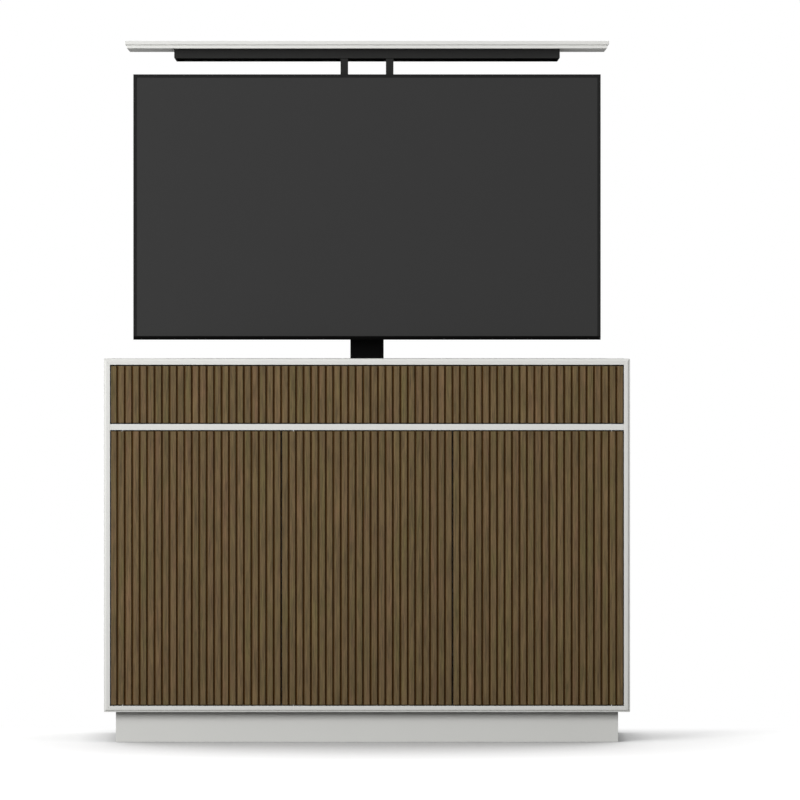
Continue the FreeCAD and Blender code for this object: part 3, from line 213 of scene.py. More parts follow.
class NodeMaker:
    """Adds nodes to a tree, and sets or links their inputs."""

    def __init__(self, tree):
        self.tree = tree

    def fill(self, socket, value):
        """Links a socket or sets its value; a colour is given without its alpha."""
        if isinstance(value, bpy.types.NodeSocket):
            self.tree.links.new(value, socket)
        elif socket.type == "RGBA":
            socket.default_value = (*value, 1)
        else:
            socket.default_value = value

    def node(self, kind, inputs=None, **settings):
        made = self.tree.nodes.new(kind)
        for name, value in settings.items():
            setattr(made, name, value)
        for key, value in (inputs or {}).items():
            self.fill(made.inputs[key], value)
        return made

    def math(self, operation, *values):
        return self.node("ShaderNodeMath", dict(enumerate(values)),
                         operation=operation).outputs[0]

    def axes(self, vector):
        """The x, y and z of a vector."""
        return self.node("ShaderNodeSeparateXYZ", {0: vector}).outputs

    def place(self, scale=(1, 1, 1)):
        """Places on the object in metres, scaled for each axis."""
        where = self.node("ShaderNodeTexCoord").outputs["Object"]
        return self.node("ShaderNodeMapping", {
            "Vector": where, "Scale": scale}).outputs[0]

    def noise(self, scale, detail=2.0, stretch=(1, 1, 1), distortion=0.0):
        return self.node("ShaderNodeTexNoise", {
            "Vector": self.place(stretch), "Scale": scale, "Detail": detail,
            "Distortion": distortion}).outputs["Fac"]

    def spread(self, value, low, high, start=0.0, end=1.0):
        """A value between start and end, spread over low to high."""
        return self.node("ShaderNodeMapRange", {
            "Value": value, "From Min": start, "From Max": end,
            "To Min": low, "To Max": high}).outputs[0]

    def vary(self, noise, low, high):
        """A noise, most of which lies between 0.3 and 0.7, spread over low to high."""
        return self.spread(noise, low, high, 0.3, 0.7)

    def mix(self, factor, first, second, blend="MIX"):
        made = self.node("ShaderNodeMix", data_type="RGBA", blend_type=blend)
        colours = [item for item in made.inputs if item.type == "RGBA"]
        for socket, value in zip((made.inputs[0], *colours), (factor, first, second)):
            self.fill(socket, value)
        return next(item for item in made.outputs if item.type == "RGBA")

    def tone(self, shade, factor):
        """A colour made lighter or darker by a factor."""
        scaled = self.node("ShaderNodeCombineXYZ", {0: factor, 1: factor, 2: factor})
        return self.mix(1.0, shade, scaled.outputs[0], "MULTIPLY")

    def seen(self, mirrored=1.0):
        """One for what is seen directly or through glass, and less in reflections."""
        path = self.node("ShaderNodeLightPath").outputs
        direct = self.math("MAXIMUM", path["Is Camera Ray"], path["Is Transmission Ray"])
        return self.math("MAXIMUM", direct, self.math(
            "MULTIPLY", path["Is Glossy Ray"], mirrored))

    def for_matt(self, strength):
        """A strength of light that reaches matt surfaces only."""
        path = self.node("ShaderNodeLightPath").outputs
        return self.math("MULTIPLY", path["Is Diffuse Ray"], strength)


class Finish(NodeMaker):
    """A material that is being put together round one Principled shader."""

    def __init__(self, name):
        self.material = bpy.data.materials.new(name)
        self.material.use_nodes = True
        super().__init__(self.material.node_tree)
        self.shader = self.tree.nodes["Principled BSDF"]

    def set(self, **values):
        """Sets or links inputs of the shader; the words stand for the socket names."""
        for key, value in values.items():
            name = key.replace("_", " ").title().replace("Ior", "IOR")
            self.fill(self.shader.inputs[name], value)

    def bump(self, height, depth, strength=1.0):
        made = self.node("ShaderNodeBump", {
            "Height": height, "Distance": depth, "Strength": strength})
        self.fill(self.shader.inputs["Normal"], made.outputs[0])


def coat(names, material):
    """Gives nodes their only material."""
    for name in names:
        slots = NODES[name].data.materials
        slots.clear()
        slots.append(material)


def soften(names, radius, segments=2):
    """Rounds the edges of nodes a little, with even shading."""
    for name in names:
        target = NODES[name]
        weld = target.modifiers.new("joined", "WELD")
        weld.merge_threshold = WELD_REACH
        bevel = target.modifiers.new("rounded", "BEVEL")
        bevel.width = radius
        bevel.segments = segments
        bevel.limit_method = "ANGLE"
        bevel.angle_limit = SHARP_ANGLE
        # flat faces stay flat, and only the narrow ones between them shade round
        even = target.modifiers.new("even", "WEIGHTED_NORMAL")
        even.weight = LARGE_FACES_LEAD
        for polygon in target.data.polygons:
            polygon.use_smooth = True


# -------------------------------------------------- finishes


class CABINET_OT_lacquer_boards(Operator):
    """Satin lacquer for the carcass, the plinth, the shelves and the lid"""

    bl_idname = "cabinet.lacquer_boards"
    bl_label = "Lacquer the boards"

    def execute(self, context):
        look = finishes()
        coat(BOARDS, self.spray("satin_lacquer", look.lacquer))
        # the floor board's underside is painted dark, as painted shade under the cabinet
        coat(["bottom_board"], self.spray("floor_board_painted_shade", look.sealer))
        soften(BOARDS, look.edge_radius)
        return {"FINISHED"}

    def spray(self, name, underside):
        """Lacquer on every face, and another colour on the faces that look down; on the
        floor board that colour is painted shade.
        """
        lacquer = Finish(name)
        normal = lacquer.node("ShaderNodeNewGeometry").outputs["True Normal"]
        nearly_down = -0.9
        straight_down = -0.98
        downward = lacquer.spread(lacquer.axes(normal)[2], 1.0, 0.0,
                                  straight_down, nearly_down)
        shade = lacquer.mix(downward, finishes().lacquer, underside)
        cloud = lacquer.noise(scale=4.0, detail=3.0)
        lacquer.set(base_color=lacquer.tone(shade, lacquer.spread(cloud, 0.985, 1.015)))
        mist = lacquer.noise(scale=60.0, detail=4.0)
        lacquer.set(roughness=lacquer.spread(mist, 0.5, 0.6), specular_ior_level=0.12)
        lacquer.bump(lacquer.noise(scale=900.0), depth=0.02 * MM, strength=0.5)
        return lacquer.material


class CABINET_OT_stain_slats(Operator):
    """Stained oak for the slats, each slat a little different from the next"""

    bl_idname = "cabinet.stain_slats"
    bl_label = "Stain the slats"

    def execute(self, context):
        look = finishes()
        oak = Finish("stained_oak")
        number = self.slat_number(oak)
        draw = oak.node("ShaderNodeTexWhiteNoise", {"W": number}, noise_dimensions="1D")
        lot = oak.node("ShaderNodeSeparateColor", {0: draw.outputs["Color"]}).outputs
        # each slat is cut from another place of the timber
        shift = oak.node("ShaderNodeCombineXYZ", {
            0: oak.math("MULTIPLY", number, 3.7), 2: oak.math("MULTIPLY", number, 1.3)})
        timber = oak.node("ShaderNodeVectorMath", {
            0: oak.place(), 1: shift.outputs[0]}, operation="ADD").outputs[0]

        def streaks(scale, upright, detail, distortion):
            grown = oak.node("ShaderNodeMapping", {
                "Vector": timber, "Scale": (1, 1, upright)})
            return oak.node("ShaderNodeTexNoise", {
                "Vector": grown.outputs[0], "Scale": scale, "Detail": detail,
                "Roughness": 0.6, "Distortion": distortion}).outputs["Fac"]

        broad = streaks(scale=110.0, upright=0.09, detail=3.0, distortion=0.5)
        fine = streaks(scale=280.0, upright=0.05, detail=4.0, distortion=0.3)
        pores = streaks(scale=900.0, upright=0.03, detail=2.0, distortion=0.0)
        cloud = streaks(scale=60.0, upright=0.2, detail=2.0, distortion=0.3)
        # the hue drifts along each slat as much as it does from slat to slat
        drift = oak.math("ADD", oak.vary(cloud, -0.4, 0.4),
                         oak.spread(lot[0], -0.22, 0.22))
        hue = oak.mix(oak.spread(drift, 0.0, 1.0, 0.05, 0.6), look.slat, look.slat_warm)
        hue = oak.mix(oak.spread(drift, 1.0, 0.0, -0.6, -0.05), hue, look.slat_cool)
        tone = oak.spread(lot[2], 1 - look.slat_variation / 2,
                          1 + look.slat_variation / 2)
        grain = oak.math("ADD", oak.vary(broad, -0.22, 0.22), oak.vary(fine, -0.3, 0.3))
        shade = oak.math("MULTIPLY", tone, oak.math(
            "MULTIPLY_ADD", grain, look.grain_strength, 1.0))
        dark_pore = oak.spread(pores, 0.72, 1.0, 0.36, 0.46)
        oak.set(base_color=oak.tone(hue, oak.math("MULTIPLY", shade, dark_pore)))
        oak.set(roughness=oak.vary(fine, 0.55, 0.7), specular_ior_level=0.18)
        oak.bump(oak.math("ADD", fine, dark_pore), depth=0.08 * MM, strength=0.6)
        coat(SLAT_ROWS, oak.material)
        soften(SLAT_ROWS, look.slat_edge_radius, 1)
        return {"FINISHED"}

    def slat_number(self, oak):
        """A number for each slat, counted along x from the left."""
        low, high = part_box("flap_slats")
        count = 69
        width = 14.2 * MM
        pitch = (high.x - low.x - width) / (count - 1)
        start = low.x - (pitch - width) / 2
        axes = oak.axes(oak.place())
        along = oak.math("DIVIDE", oak.math("SUBTRACT", axes[0], start), pitch)
        # the flap's slats are other pieces than the slats below them
        flap_foot = low.z - 5 * MM
        upper = oak.math("GREATER_THAN", axes[2], flap_foot)
        return oak.math("ADD", oak.math("FLOOR", along),
                        oak.math("MULTIPLY", upper, 1.5 * count))


class CABINET_OT_stain_backings(Operator):
    """Dark stained boards behind the slats, with painted shade where they show between the
    slats
    """

    bl_idname = "cabinet.stain_backings"
    bl_label = "Stain the door boards"

    def execute(self, context):
        board = Finish("dark_veneer")
        grain = board.noise(scale=300.0, detail=4.0, stretch=(1, 1, 0.04), distortion=0.2)
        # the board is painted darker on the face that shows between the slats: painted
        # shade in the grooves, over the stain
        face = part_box("flap_backing")[0].y
        inward = board.spread(board.axes(board.place())[1], 0.0, 1.0,
                              face + 0.2 * MM, face + 1.2 * MM)
        stain_and_groove_shade = board.mix(inward, finishes().groove_painted_shade, finishes().veneer)
        board.set(base_color=board.tone(stain_and_groove_shade, board.vary(grain, 0.75, 1.25)))
        board.set(roughness=board.vary(grain, 0.6, 0.75), specular_ior_level=0.2)
        board.bump(grain, depth=0.06 * MM, strength=0.5)
        coat(BACKINGS, board.material)
        soften(BACKINGS, finishes().slat_edge_radius)
        return {"FINISHED"}


def powder_coat(name, shade, roughness, gloss):
    paint = Finish(name)
    specks = paint.noise(scale=1400.0)
    paint.set(base_color=paint.tone(shade, paint.vary(specks, 0.8, 1.2)))
    paint.set(roughness=paint.vary(paint.noise(scale=40.0, detail=3.0),
                                   roughness - 0.02, roughness + 0.02))
    paint.set(specular_ior_level=gloss)
    paint.bump(specks, depth=0.01 * MM, strength=0.15)
    return paint.material


class CABINET_OT_coat_steel(Operator):
    """Fine black powder coat for the carrier, the mount and the lift"""

    bl_idname = "cabinet.coat_steel"
    bl_label = "Coat the steel parts"

    def execute(self, context):
        look = finishes()
        coat(COATED_STEEL, powder_coat("powder_coat", look.coated_steel,
                                       roughness=0.3, gloss=0.2))
        coat(DARK_STEEL, powder_coat("column_paint", look.dark_steel,
                                     roughness=0.4, gloss=0.03))
        soften(COATED_STEEL + DARK_STEEL, look.metal_edge_radius)
        return {"FINISHED"}


class CABINET_OT_plate_fittings(Operator):
    """Zinc plating for the pivots, shelf supports and screws, and black for some screws"""

    bl_idname = "cabinet.plate_fittings"
    bl_label = "Plate the fittings"

    def execute(self, context):
        look = finishes()
        zinc = Finish("zinc_plating")
        spangle = zinc.noise(scale=160.0, detail=3.0)
        brushed = zinc.noise(scale=500.0, stretch=(0.05, 1, 1))
        zinc.set(base_color=zinc.tone(look.zinc, zinc.vary(spangle, 0.88, 1.08)))
        zinc.set(roughness=zinc.vary(brushed, 0.28, 0.42), metallic=1.0)
        zinc.bump(brushed, depth=0.02 * MM, strength=0.4)
        coat(ZINC_STEEL, zinc.material)
        soften(ZINC_STEEL, look.fitting_edge_radius, 1)
        black = Finish("black_screws")
        wear = black.noise(scale=1200.0)
        black.set(base_color=black.tone(look.black_plastic, black.vary(wear, 0.6, 1.6)))
        black.set(roughness=black.vary(wear, 0.3, 0.42), metallic=0.6)
        return {"FINISHED"}


class CABINET_OT_mould_plastics(Operator):
    """Grained black and plain pale plastic, painted shade for the openings and the lamp's
    lens
    """

    bl_idname = "cabinet.mould_plastics"
    bl_label = "Finish the plastics"

    def execute(self, context):
        look = finishes()
        grained = Finish("grained_plastic")
        leather = grained.noise(scale=700.0, detail=3.0, distortion=0.4)
        grained.set(base_color=grained.tone(look.black_plastic,
                                            grained.vary(leather, 0.85, 1.15)))
        grained.set(roughness=grained.vary(leather, 0.5, 0.62), specular_ior_level=0.22)
        grained.bump(leather, depth=0.08 * MM, strength=0.7)
        coat(BLACK_PLASTIC, grained.material)
        acetal = Finish("acetal")
        flow = acetal.noise(scale=30.0, detail=3.0, stretch=(1, 1, 0.2))
        acetal.set(base_color=acetal.tone(look.pale_plastic,
                                          acetal.vary(flow, 0.95, 1.03)))
        acetal.set(roughness=acetal.vary(flow, 0.35, 0.45))
        acetal.bump(acetal.noise(scale=800.0), depth=0.02 * MM, strength=0.4)
        coat(PALE_PLASTIC, acetal.material)
        soften(BLACK_PLASTIC + PALE_PLASTIC, look.metal_edge_radius)
        # dark sheets of painted shade behind the vents and sockets
        recess = Finish("painted_opening_shade")
        dust = recess.noise(scale=300.0)
        recess.set(base_color=recess.tone(look.recess, recess.spread(dust, 0.7, 1.3)))
        recess.set(roughness=recess.spread(dust, 0.8, 0.95), specular_ior_level=0.1)
        lens = Finish("lamp_lens")
        swirl = lens.noise(scale=900.0)
        lens.set(base_color=lens.tone(look.lamp, lens.spread(swirl, 0.9, 1.1)))
        lens.set(roughness=lens.spread(swirl, 0.12, 0.2), coat_weight=0.5)
        return {"FINISHED"}


class CABINET_OT_finish_screen(Operator):
    """Dark low gloss display and its frame"""

    bl_idname = "cabinet.finish_screen"
    bl_label = "Finish the screen"

    def execute(self, context):
        look = finishes()
        display = Finish("display_face")
        film = display.noise(scale=2600.0, detail=1.0)
        display.set(base_color=display.tone(look.screen, display.vary(film, 0.97, 1.03)))
        display.set(roughness=display.vary(display.noise(scale=6.0), 0.58, 0.62),
                    specular_ior_level=0.09)
        display.bump(film, depth=0.01 * MM, strength=0.3)
        coat(["tv_screen"], display.material)
        bezel = Finish("frame_paint")
        satin = bezel.noise(scale=500.0, stretch=(1, 1, 0.1))
        # painted shade: the lower bar is painted darker than the other three
        level = bezel.axes(bezel.place())[2]
        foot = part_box("tv_screen")[0].z
        above = bezel.spread(level, 0.0, 1.0, foot - 0.5 * MM, foot + 0.5 * MM)
        shade = bezel.mix(above, look.lower_bezel_painted_shade, look.bezel)
        bezel.set(base_color=bezel.tone(shade, bezel.vary(satin, 0.9, 1.1)))
        bezel.set(roughness=bezel.vary(satin, 0.47, 0.53), specular_ior_level=0.03)
        bezel.bump(satin, depth=0.01 * MM, strength=0.4)
        coat(["tv_bezel"], bezel.material)
        soften(["tv_bezel", "tv_screen"], look.metal_edge_radius)
        return {"FINISHED"}


# -------------------------------------------- shapes in mesh


def new_object(name, data):
    made = bpy.data.objects.new(name, data)
    bpy.context.scene.collection.objects.link(made)
    return made


def make_piece(name, body, finish, shape):
    """Turns a finished mesh shape into a piece that rides on a body."""
    bmesh.ops.recalc_face_normals(shape, faces=shape.faces)
    mesh = bpy.data.meshes.new(name)
    shape.to_mesh(mesh)
    shape.free()
    mesh.materials.append(bpy.data.materials[finish])
    piece = new_object(name, mesh)
    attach(piece, body)
    return piece


def seat(origin, out):
    """A place on a face: its own Z points out of the face, and its own Y up or back."""
    up = Vector(BACK if out[2] else UP)
    out = Vector(out)
    turn = Matrix((up.cross(out), up, out)).transposed().to_4x4()
    return Matrix.Translation(origin) @ turn


def moved(place, across, out=0):
    """A place moved over its own face and out of it."""
    return place @ Matrix.Translation((across, 0, out))


def corners(low, high, across, deep):
    """The four corners of a box, seen from above and moved inwards."""
    return [(x, y) for x in (low.x + across, high.x - across)
            for y in (low.y + deep, high.y - deep)]


def block(shape, place, low, high, chamfer=0.2 * MM):
    """A rectangular form with chamfered edges."""
    low = Vector(low)
    high = Vector(high)
    points = bmesh.ops.create_cube(shape, size=1.0)["verts"]
    for point in points:
        point.co = place @ Vector((low[axis] + (point.co[axis] + 0.5)
                                   * (high[axis] - low[axis]) for axis in range(3)))
    edges = list({edge for point in points for edge in point.link_edges})
    bmesh.ops.bevel(shape, geom=edges, offset=chamfer, segments=1, affect="EDGES")


def film(shape, place, half_width, half_height):
    """A dark sheet behind an opening, painted shade for the depth there."""
    block(shape, place, (-half_width, -half_height, 0),
          (half_width, half_height, 0.1 * MM), 0.02 * MM)


def rim(shape, place, half_width, half_height, wall, height):
    """Four bars round a rectangular opening."""
    for side in (-1, 1):
        inner = half_width - wall if side > 0 else -half_width
        block(shape, place, (inner, -half_height, 0), (inner + wall, half_height, height))
        level = half_height - wall if side > 0 else -half_height
        block(shape, place, (wall - half_width, level, 0),
              (half_width - wall, level + wall, height))


def grille(bars, dark, place, half_width, half_height, pitch, height):
    """A frame with upright ribs over a dark sheet of painted shade."""
    wall = 2.5 * MM
    rim(bars, place, half_width, half_height, wall, height)
    count = round(2 * (half_width - wall) / pitch)
    step = 2 * (half_width - wall) / count
    half_rib = 0.22 * step
    for number in range(1, count):
        middle = number * step - half_width + wall
        block(bars, place, (middle - half_rib, wall - half_height, 0),
              (middle + half_rib, half_height - wall, 0.8 * height), 0.1 * MM)
    film(dark, place, half_width - wall, half_height - wall)


def plain(radius):
    """The outline of a round ring."""
    return lambda angle: radius


def hexagon(radius):
    """The outline of a hexagonal ring."""
    step = math.pi / 3
    return lambda angle: radius * math.cos(step / 2) / math.cos(angle % step - step / 2)


def cross(radius):
    """The outline of a cross recess."""
    return lambda angle: radius * (0.34 + 0.66 * abs(math.cos(2 * angle)) ** 3)


def turned(shape, place, profile, sides=24, hollow=False):
    """A turned form; each ring has an outline and a height, and a hollow one is a loop."""
    rings = []
    for outline, height in profile:
        ring = []
        for number in range(sides):
            angle = 2 * math.pi * number / sides
            ring.append(shape.verts.new(place @ Vector((
                outline(angle) * math.cos(angle), outline(angle) * math.sin(angle),
                height))))
        rings.append(ring)
    join_rings(shape, rings, hollow)


def join_rings(shape, rings, hollow=False):
    """Skins a row of rings, and caps its ends unless the row is a loop."""
    pairs = list(zip(rings, rings[1:]))
    if hollow:
        pairs.append((rings[-1], rings[0]))
    else:
        shape.faces.new(rings[0])
        shape.faces.new(rings[-1])
    for low, high in pairs:
        for number in range(len(low)):
            after = (number + 1) % len(low)
            shape.faces.new((low[number], low[after], high[after], high[number]))


def lathe(shape, place, profile, sides=24, hollow=False):
    """A round form; its profile is a row of radii and heights in millimetres."""
    turned(shape, place, [(plain(radius * MM), height * MM) for radius, height in profile],
           sides, hollow)


def ferrule(shape, place, outer, inner, height, sides=24):
    """A short tube with its radii and its height in millimetres."""
    lathe(shape, place, [(outer, 0), (outer, height), (inner, height), (inner, 0)],
          sides, hollow=True)


def screw_head(shape, place, radius, height, recess=cross):
    """A round head with a recess for its driver, measured in millimetres."""
    radius *= MM
    height *= MM
    turned(shape, place, [
        (plain(radius), 0), (plain(radius), 0.55 * height),
        (plain(0.82 * radius), height), (recess(0.55 * radius), height),
        (recess(0.5 * radius), 0.35 * height)])


# ---------------------------------------------------- pieces


class CABINET_OT_bolt_mount(Operator):
    """Bolts of the screen mount, the mast and the base plate"""

    bl_idname = "cabinet.bolt_mount"
    bl_label = "Bolt the mount"

    def execute(self, context):
        mount = bmesh.new()
        low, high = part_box("tv_mount_plate")
        rail_low, rail_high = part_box("tv_mount_rails")
        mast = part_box("tv_mast")[1]
        flange = 6 * MM
        rail = rail_high.x - 17 * MM
        # how far each pair of rows is from the middle, the face it sits on, its levels
        rows = [
            (rail, high.y, (low.z + 20 * MM, high.z - 20 * MM)),
            (rail, rail_high.y, (rail_low.z + 16 * MM, rail_high.z - 9 * MM)),
            (42 * MM, high.y + flange,
             (low.z + 30 * MM, (low.z + high.z) / 2, high.z - 30 * MM)),
        ]
        for side in (-1, 1):
            for across, face, levels in rows:
                for level in levels:
                    self.button(mount, (side * across, face, level), BACK)
            for depth in (10 * MM, 26 * MM):
                self.button(mount, (side * 24 * MM, mast.y - depth, mast.z), UP)
        make_piece("mount_bolts", "screen_carriage", "zinc_plating", mount)
        base = bmesh.new()
        low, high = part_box("lift_base_plate")
        washer = 1.4
        head = hexagon(7.2 * MM)
        for x, y in corners(low, high, 18 * MM, 16 * MM):
            place = seat((x, y, high.z), UP)
            ferrule(base, place, outer=9, inner=4, height=washer)
            turned(base, place, [(head, washer * MM), (head, 5.4 * MM),
                                 (plain(5.9 * MM), 6 * MM)])
        make_piece("base_bolts", "cabinet", "zinc_plating", base)
        return {"FINISHED"}

    def button(self, shape, centre, out):
        screw_head(shape, seat(centre, out), radius=6, height=3, recess=hexagon)


class CABINET_OT_detail_screen_back(Operator):
    """Vents, sockets and cover screws on the back of the screen"""

    bl_idname = "cabinet.detail_screen_back"
    bl_label = "Detail the back of the screen"

    def execute(self, context):
        low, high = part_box("tv_rear_cover")
        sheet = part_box("tv_mount_rails")[0].y
        bars, dark, metal, screws = (bmesh.new() for _ in range(4))
        edge = high.x - 18 * MM
        top = high.z - 18 * MM
        # how far each pair of screws is from the middle, the face and the level
        screw_spots = [
            (edge, sheet, low.z + 26 * MM), (edge, sheet, (low.z + high.z) / 2),
            (edge, sheet, top), (300 * MM, sheet, top),
            (318 * MM, high.y, low.z + 84 * MM), (318 * MM, high.y, low.z + 224 * MM),
        ]
        for side in (-1, 1):
            # warm air leaves above the mount
            grille(bars, dark, seat((side * 260 * MM, sheet, high.z - 74 * MM), BACK),
                   150 * MM, 24 * MM, pitch=7 * MM, height=1.4 * MM)
            # the speakers' slots
            speaker = (side * 245 * MM, high.y - 0.2 * MM, low.z + 42 * MM)
            grille(bars, dark, seat(speaker, BACK),
                   70 * MM, 11 * MM, pitch=5 * MM, height=1.2 * MM)
            for across, face, level in screw_spots:
                screw_head(screws, seat((side * across, face, level), BACK), 4, 1.6)
        self.sockets(bars, dark, metal,
                     seat((-230 * MM, high.y, low.z + 170 * MM), BACK))
        make_piece("screen_vents", "screen_carriage",
                   "grained_plastic", bars)
        make_piece("screen_opening_shade", "screen_carriage",
                   "painted_opening_shade", dark)
        make_piece("screen_sockets", "screen_carriage",
                   "zinc_plating", metal)
        make_piece("screen_cover_screws", "screen_carriage",
                   "black_screws", screws)
        return {"FINISHED"}

    def sockets(self, bars, dark, metal, place):
        """A framed row of sockets: three wide, two small, one square and one round."""
        rim(bars, place, 92 * MM, 24 * MM, wall=2 * MM, height=1.6 * MM)
        # in millimetres: how far from the middle of the row, half width, half height
        row = [(-74, 7.5, 2.75), (-50, 7.5, 2.75), (-26, 7.5, 2.75), (-4, 6.5, 3),
               (16, 6.5, 3), (40, 7, 6)]
        shell = 1 * MM
        for across, half_width, half_height in row:
            there = moved(place, across * MM)
            rim(metal, there, half_width * MM + shell, half_height * MM + shell,
                shell, shell)
            film(dark, there, half_width * MM, half_height * MM)
        ferrule(metal, moved(place, 70 * MM), outer=4.8, inner=3.9, height=5)


class CABINET_OT_detail_lift(Operator):
    """Bands, end cap and screws of the gear motor"""

    bl_idname = "cabinet.detail_lift"
    bl_label = "Detail the gear motor"

    def execute(self, context):
        low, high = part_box("lift_gearmotor")
        gearbox_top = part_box("lift_spindle")[0].z
        # the motor's radius, and how far it stands inside the gearbox's right end
        radius = 25
        inset = 8
        middle = (low.y + high.y) / 2
        top = seat((high.x - (radius + inset) * MM, middle, high.z), UP)
        fittings = bmesh.new()
        for level in (-98, -78, -22, -8):
            lathe(fittings, moved(top, 0, level * MM), [
                (radius, 0), (radius + 0.7, 0.4), (radius + 0.7, 2.6), (radius, 3)],
                48, hollow=True)
        lathe(fittings, top, [(radius - 1, 0), (radius - 1, 1.2), (radius - 3, 2.4),
                              (10, 2.8), (10, 5), (8, 6)], 48)
        make_piece("motor_end_cap", "cabinet", "powder_coat", fittings)
        screws = bmesh.new()
        bolt_circle = 16 * MM
        for degrees in (90, 210, 330):
            spoke = Vector((bolt_circle, 0, 2.6 * MM))
            spoke.rotate(Matrix.Rotation(math.radians(degrees), 3, "Z"))
            screw_head(screws, seat(top.translation + spoke, UP), 2.6, 1.8)
        for y in (low.y + 7 * MM, high.y - 7 * MM):
            screw_head(screws, seat((high.x - 7 * MM, y, gearbox_top), UP), 3.4, 2.6,
                       hexagon)
        make_piece("motor_screws", "cabinet", "zinc_plating", screws)
        return {"FINISHED"}


class CABINET_OT_thread_spindle(Operator):
    """The lift spindle with its rolled thread of five starts"""

    bl_idname = "cabinet.thread_spindle"
    bl_label = "Thread the spindle"

    def execute(self, context):
        low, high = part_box("lift_spindle")
        crest = (high.x - low.x) / 2
        root = crest - 1.1 * MM
        lead = 20 * MM
        starts = 5
        rings_a_turn = 16
        # each start is one lobe of the rod's section, with a flank up and a flank down
        lobe = [(0.0, root), (0.34, root), (0.5, crest), (0.84, crest)]
        section = [((start + share) / starts, radius)
                   for start in range(starts) for share, radius in lobe]
        journal = [(share, root) for share, radius in section]
        journal_top = low.z + 8 * MM
        thread_foot = journal_top + 1 * MM
        threaded = high.z - thread_foot
        count = round(rings_a_turn * threaded / lead)
        rows = [(low.z, journal), (journal_top, journal)]
        rows += [(thread_foot + threaded * number / count, section)
                 for number in range(count + 1)]
        rod = bmesh.new()
        rings = []
        for level, outline in rows:
            twist = max(level - thread_foot, 0) / lead
            ring = []
            for share, radius in outline:
                angle = 2 * math.pi * (share + twist)
                ring.append(rod.verts.new((low.x + crest + radius * math.cos(angle),
                                           low.y + crest + radius * math.sin(angle),
                                           level)))
            rings.append(ring)
        join_rings(rod, rings)
        spindle = make_piece("threaded_spindle", "spindle",
                             "zinc_plating", rod)
        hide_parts("lift_spindle")
        return {"FINISHED"}


class CABINET_OT_detail_control_box(Operator):
    """Vents, sockets, lamp and screws of the control box, and its inlet's pins"""

    bl_idname = "cabinet.detail_control_box"
    bl_label = "Detail the control box"

    def execute(self, context):
        low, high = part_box("lift_control_box")
        middle = (low + high) / 2
        bars, dark, metal, lamp = (bmesh.new() for _ in range(4))
        grille(bars, dark, seat((middle.x, middle.y, high.z), UP),
               52 * MM, 14 * MM, pitch=6 * MM, height=1.2 * MM)
        for x, y in corners(low, high, 9 * MM, 9 * MM):
            screw_head(metal, seat((x, y, high.z), UP), 3, 1.6)
        for across in (-17 * MM, 0, 17 * MM):
            socket = seat((low.x, middle.y + across, middle.z), LEFT)
            ferrule(bars, socket, outer=7, inner=5.2, height=1.6, sides=32)
            # a dark disc of painted shade at the bottom of each socket
            lathe(dark, socket, [(5.2, 0), (5, 0.15)], 32)
        lathe(lamp, seat((high.x - 22 * MM, low.y, middle.z), FRONT),
              [(2.2, 0), (2.1, 0.6), (1.5, 1.2), (0.6, 1.5)])
        low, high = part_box("lift_power_inlet")
        middle = (low + high) / 2
        for across, up in ((-7, -2), (0, 3), (7, -2)):
            pin = (low.x + 2 * MM, middle.y + across * MM, middle.z + up * MM)
            block(metal, seat(pin, RIGHT), (-1 * MM, -2 * MM, 0),
                  (1 * MM, 2 * MM, 14 * MM))
        make_piece("control_box_vents", "cabinet",
                   "grained_plastic", bars)
        make_piece("control_box_opening_shade", "cabinet",
                   "painted_opening_shade", dark)
        make_piece("control_box_lamp", "cabinet", "lamp_lens", lamp)
        make_piece("control_box_screws", "cabinet", "zinc_plating", metal)
        return {"FINISHED"}


class CABINET_OT_drive_screws(Operator):
    """Screws of the pivots, latches and shelf supports, and the doors' strike plates"""

    bl_idname = "cabinet.drive_screws"
    bl_label = "Drive the small screws"

    def execute(self, context):
        screws = bmesh.new()
        self.pivots(screws)
        self.shelf_supports(screws)
        for latch, front in LATCHES.items():
            self.latch(screws, latch, front)
        make_piece("small_screws", "cabinet", "zinc_plating", screws)
        return {"FINISHED"}

    def pivots(self, screws):
        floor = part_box("bottom_board")[1].z
        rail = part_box("middle_rail")[0].z
        for door in ("left", "middle", "right"):
            low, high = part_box(f"{door}_door_pivot_bushes")
            pivot = (low + high) / 2
            for x in (pivot.x - 18 * MM, pivot.x + 18 * MM):
                screw_head(screws, seat((x, pivot.y, floor), UP), 2.6, 0.3)
                screw_head(screws, seat((x, pivot.y, rail), DOWN), 2.6, 0.3)

    def shelf_supports(self, screws):
        plate = 0.5 * MM
        for shelf in ("left_shelf", "middle_shelf", "right_shelf"):
            low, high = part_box(shelf)
            for y in (low.y + 30 * MM, high.y - 30 * MM):
                for x, out in ((low.x + plate, RIGHT), (high.x - plate, LEFT)):
                    screw_head(screws, seat((x, y, low.z - 7 * MM), out), 2.4, 1.2)

    def latch(self, screws, latch, front):
        """Two screws under a latch, and the strike plate that its plunger touches."""
        low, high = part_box(f"{latch}_plunger")
        middle = (low + high) / 2
        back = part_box(f"{front}_backing")[1].y
        for y in (back + 20 * MM, back + 60 * MM):
            screw_head(screws, seat((middle.x, y, middle.z - 7 * MM), DOWN), 2.6, 0.9)
        strike = bmesh.new()
        place = seat((middle.x, back, middle.z), BACK)
        block(strike, place, (-11 * MM, -3.7 * MM, 0), (11 * MM, 3.7 * MM, 0.16 * MM),
              0.05 * MM)
        for across in (-7.5 * MM, 7.5 * MM):
            screw_head(strike, moved(place, across), 2, 0.24)
        make_piece(f"{latch}_strike", front, "zinc_plating", strike)


# ----------------------------------------------------- stage


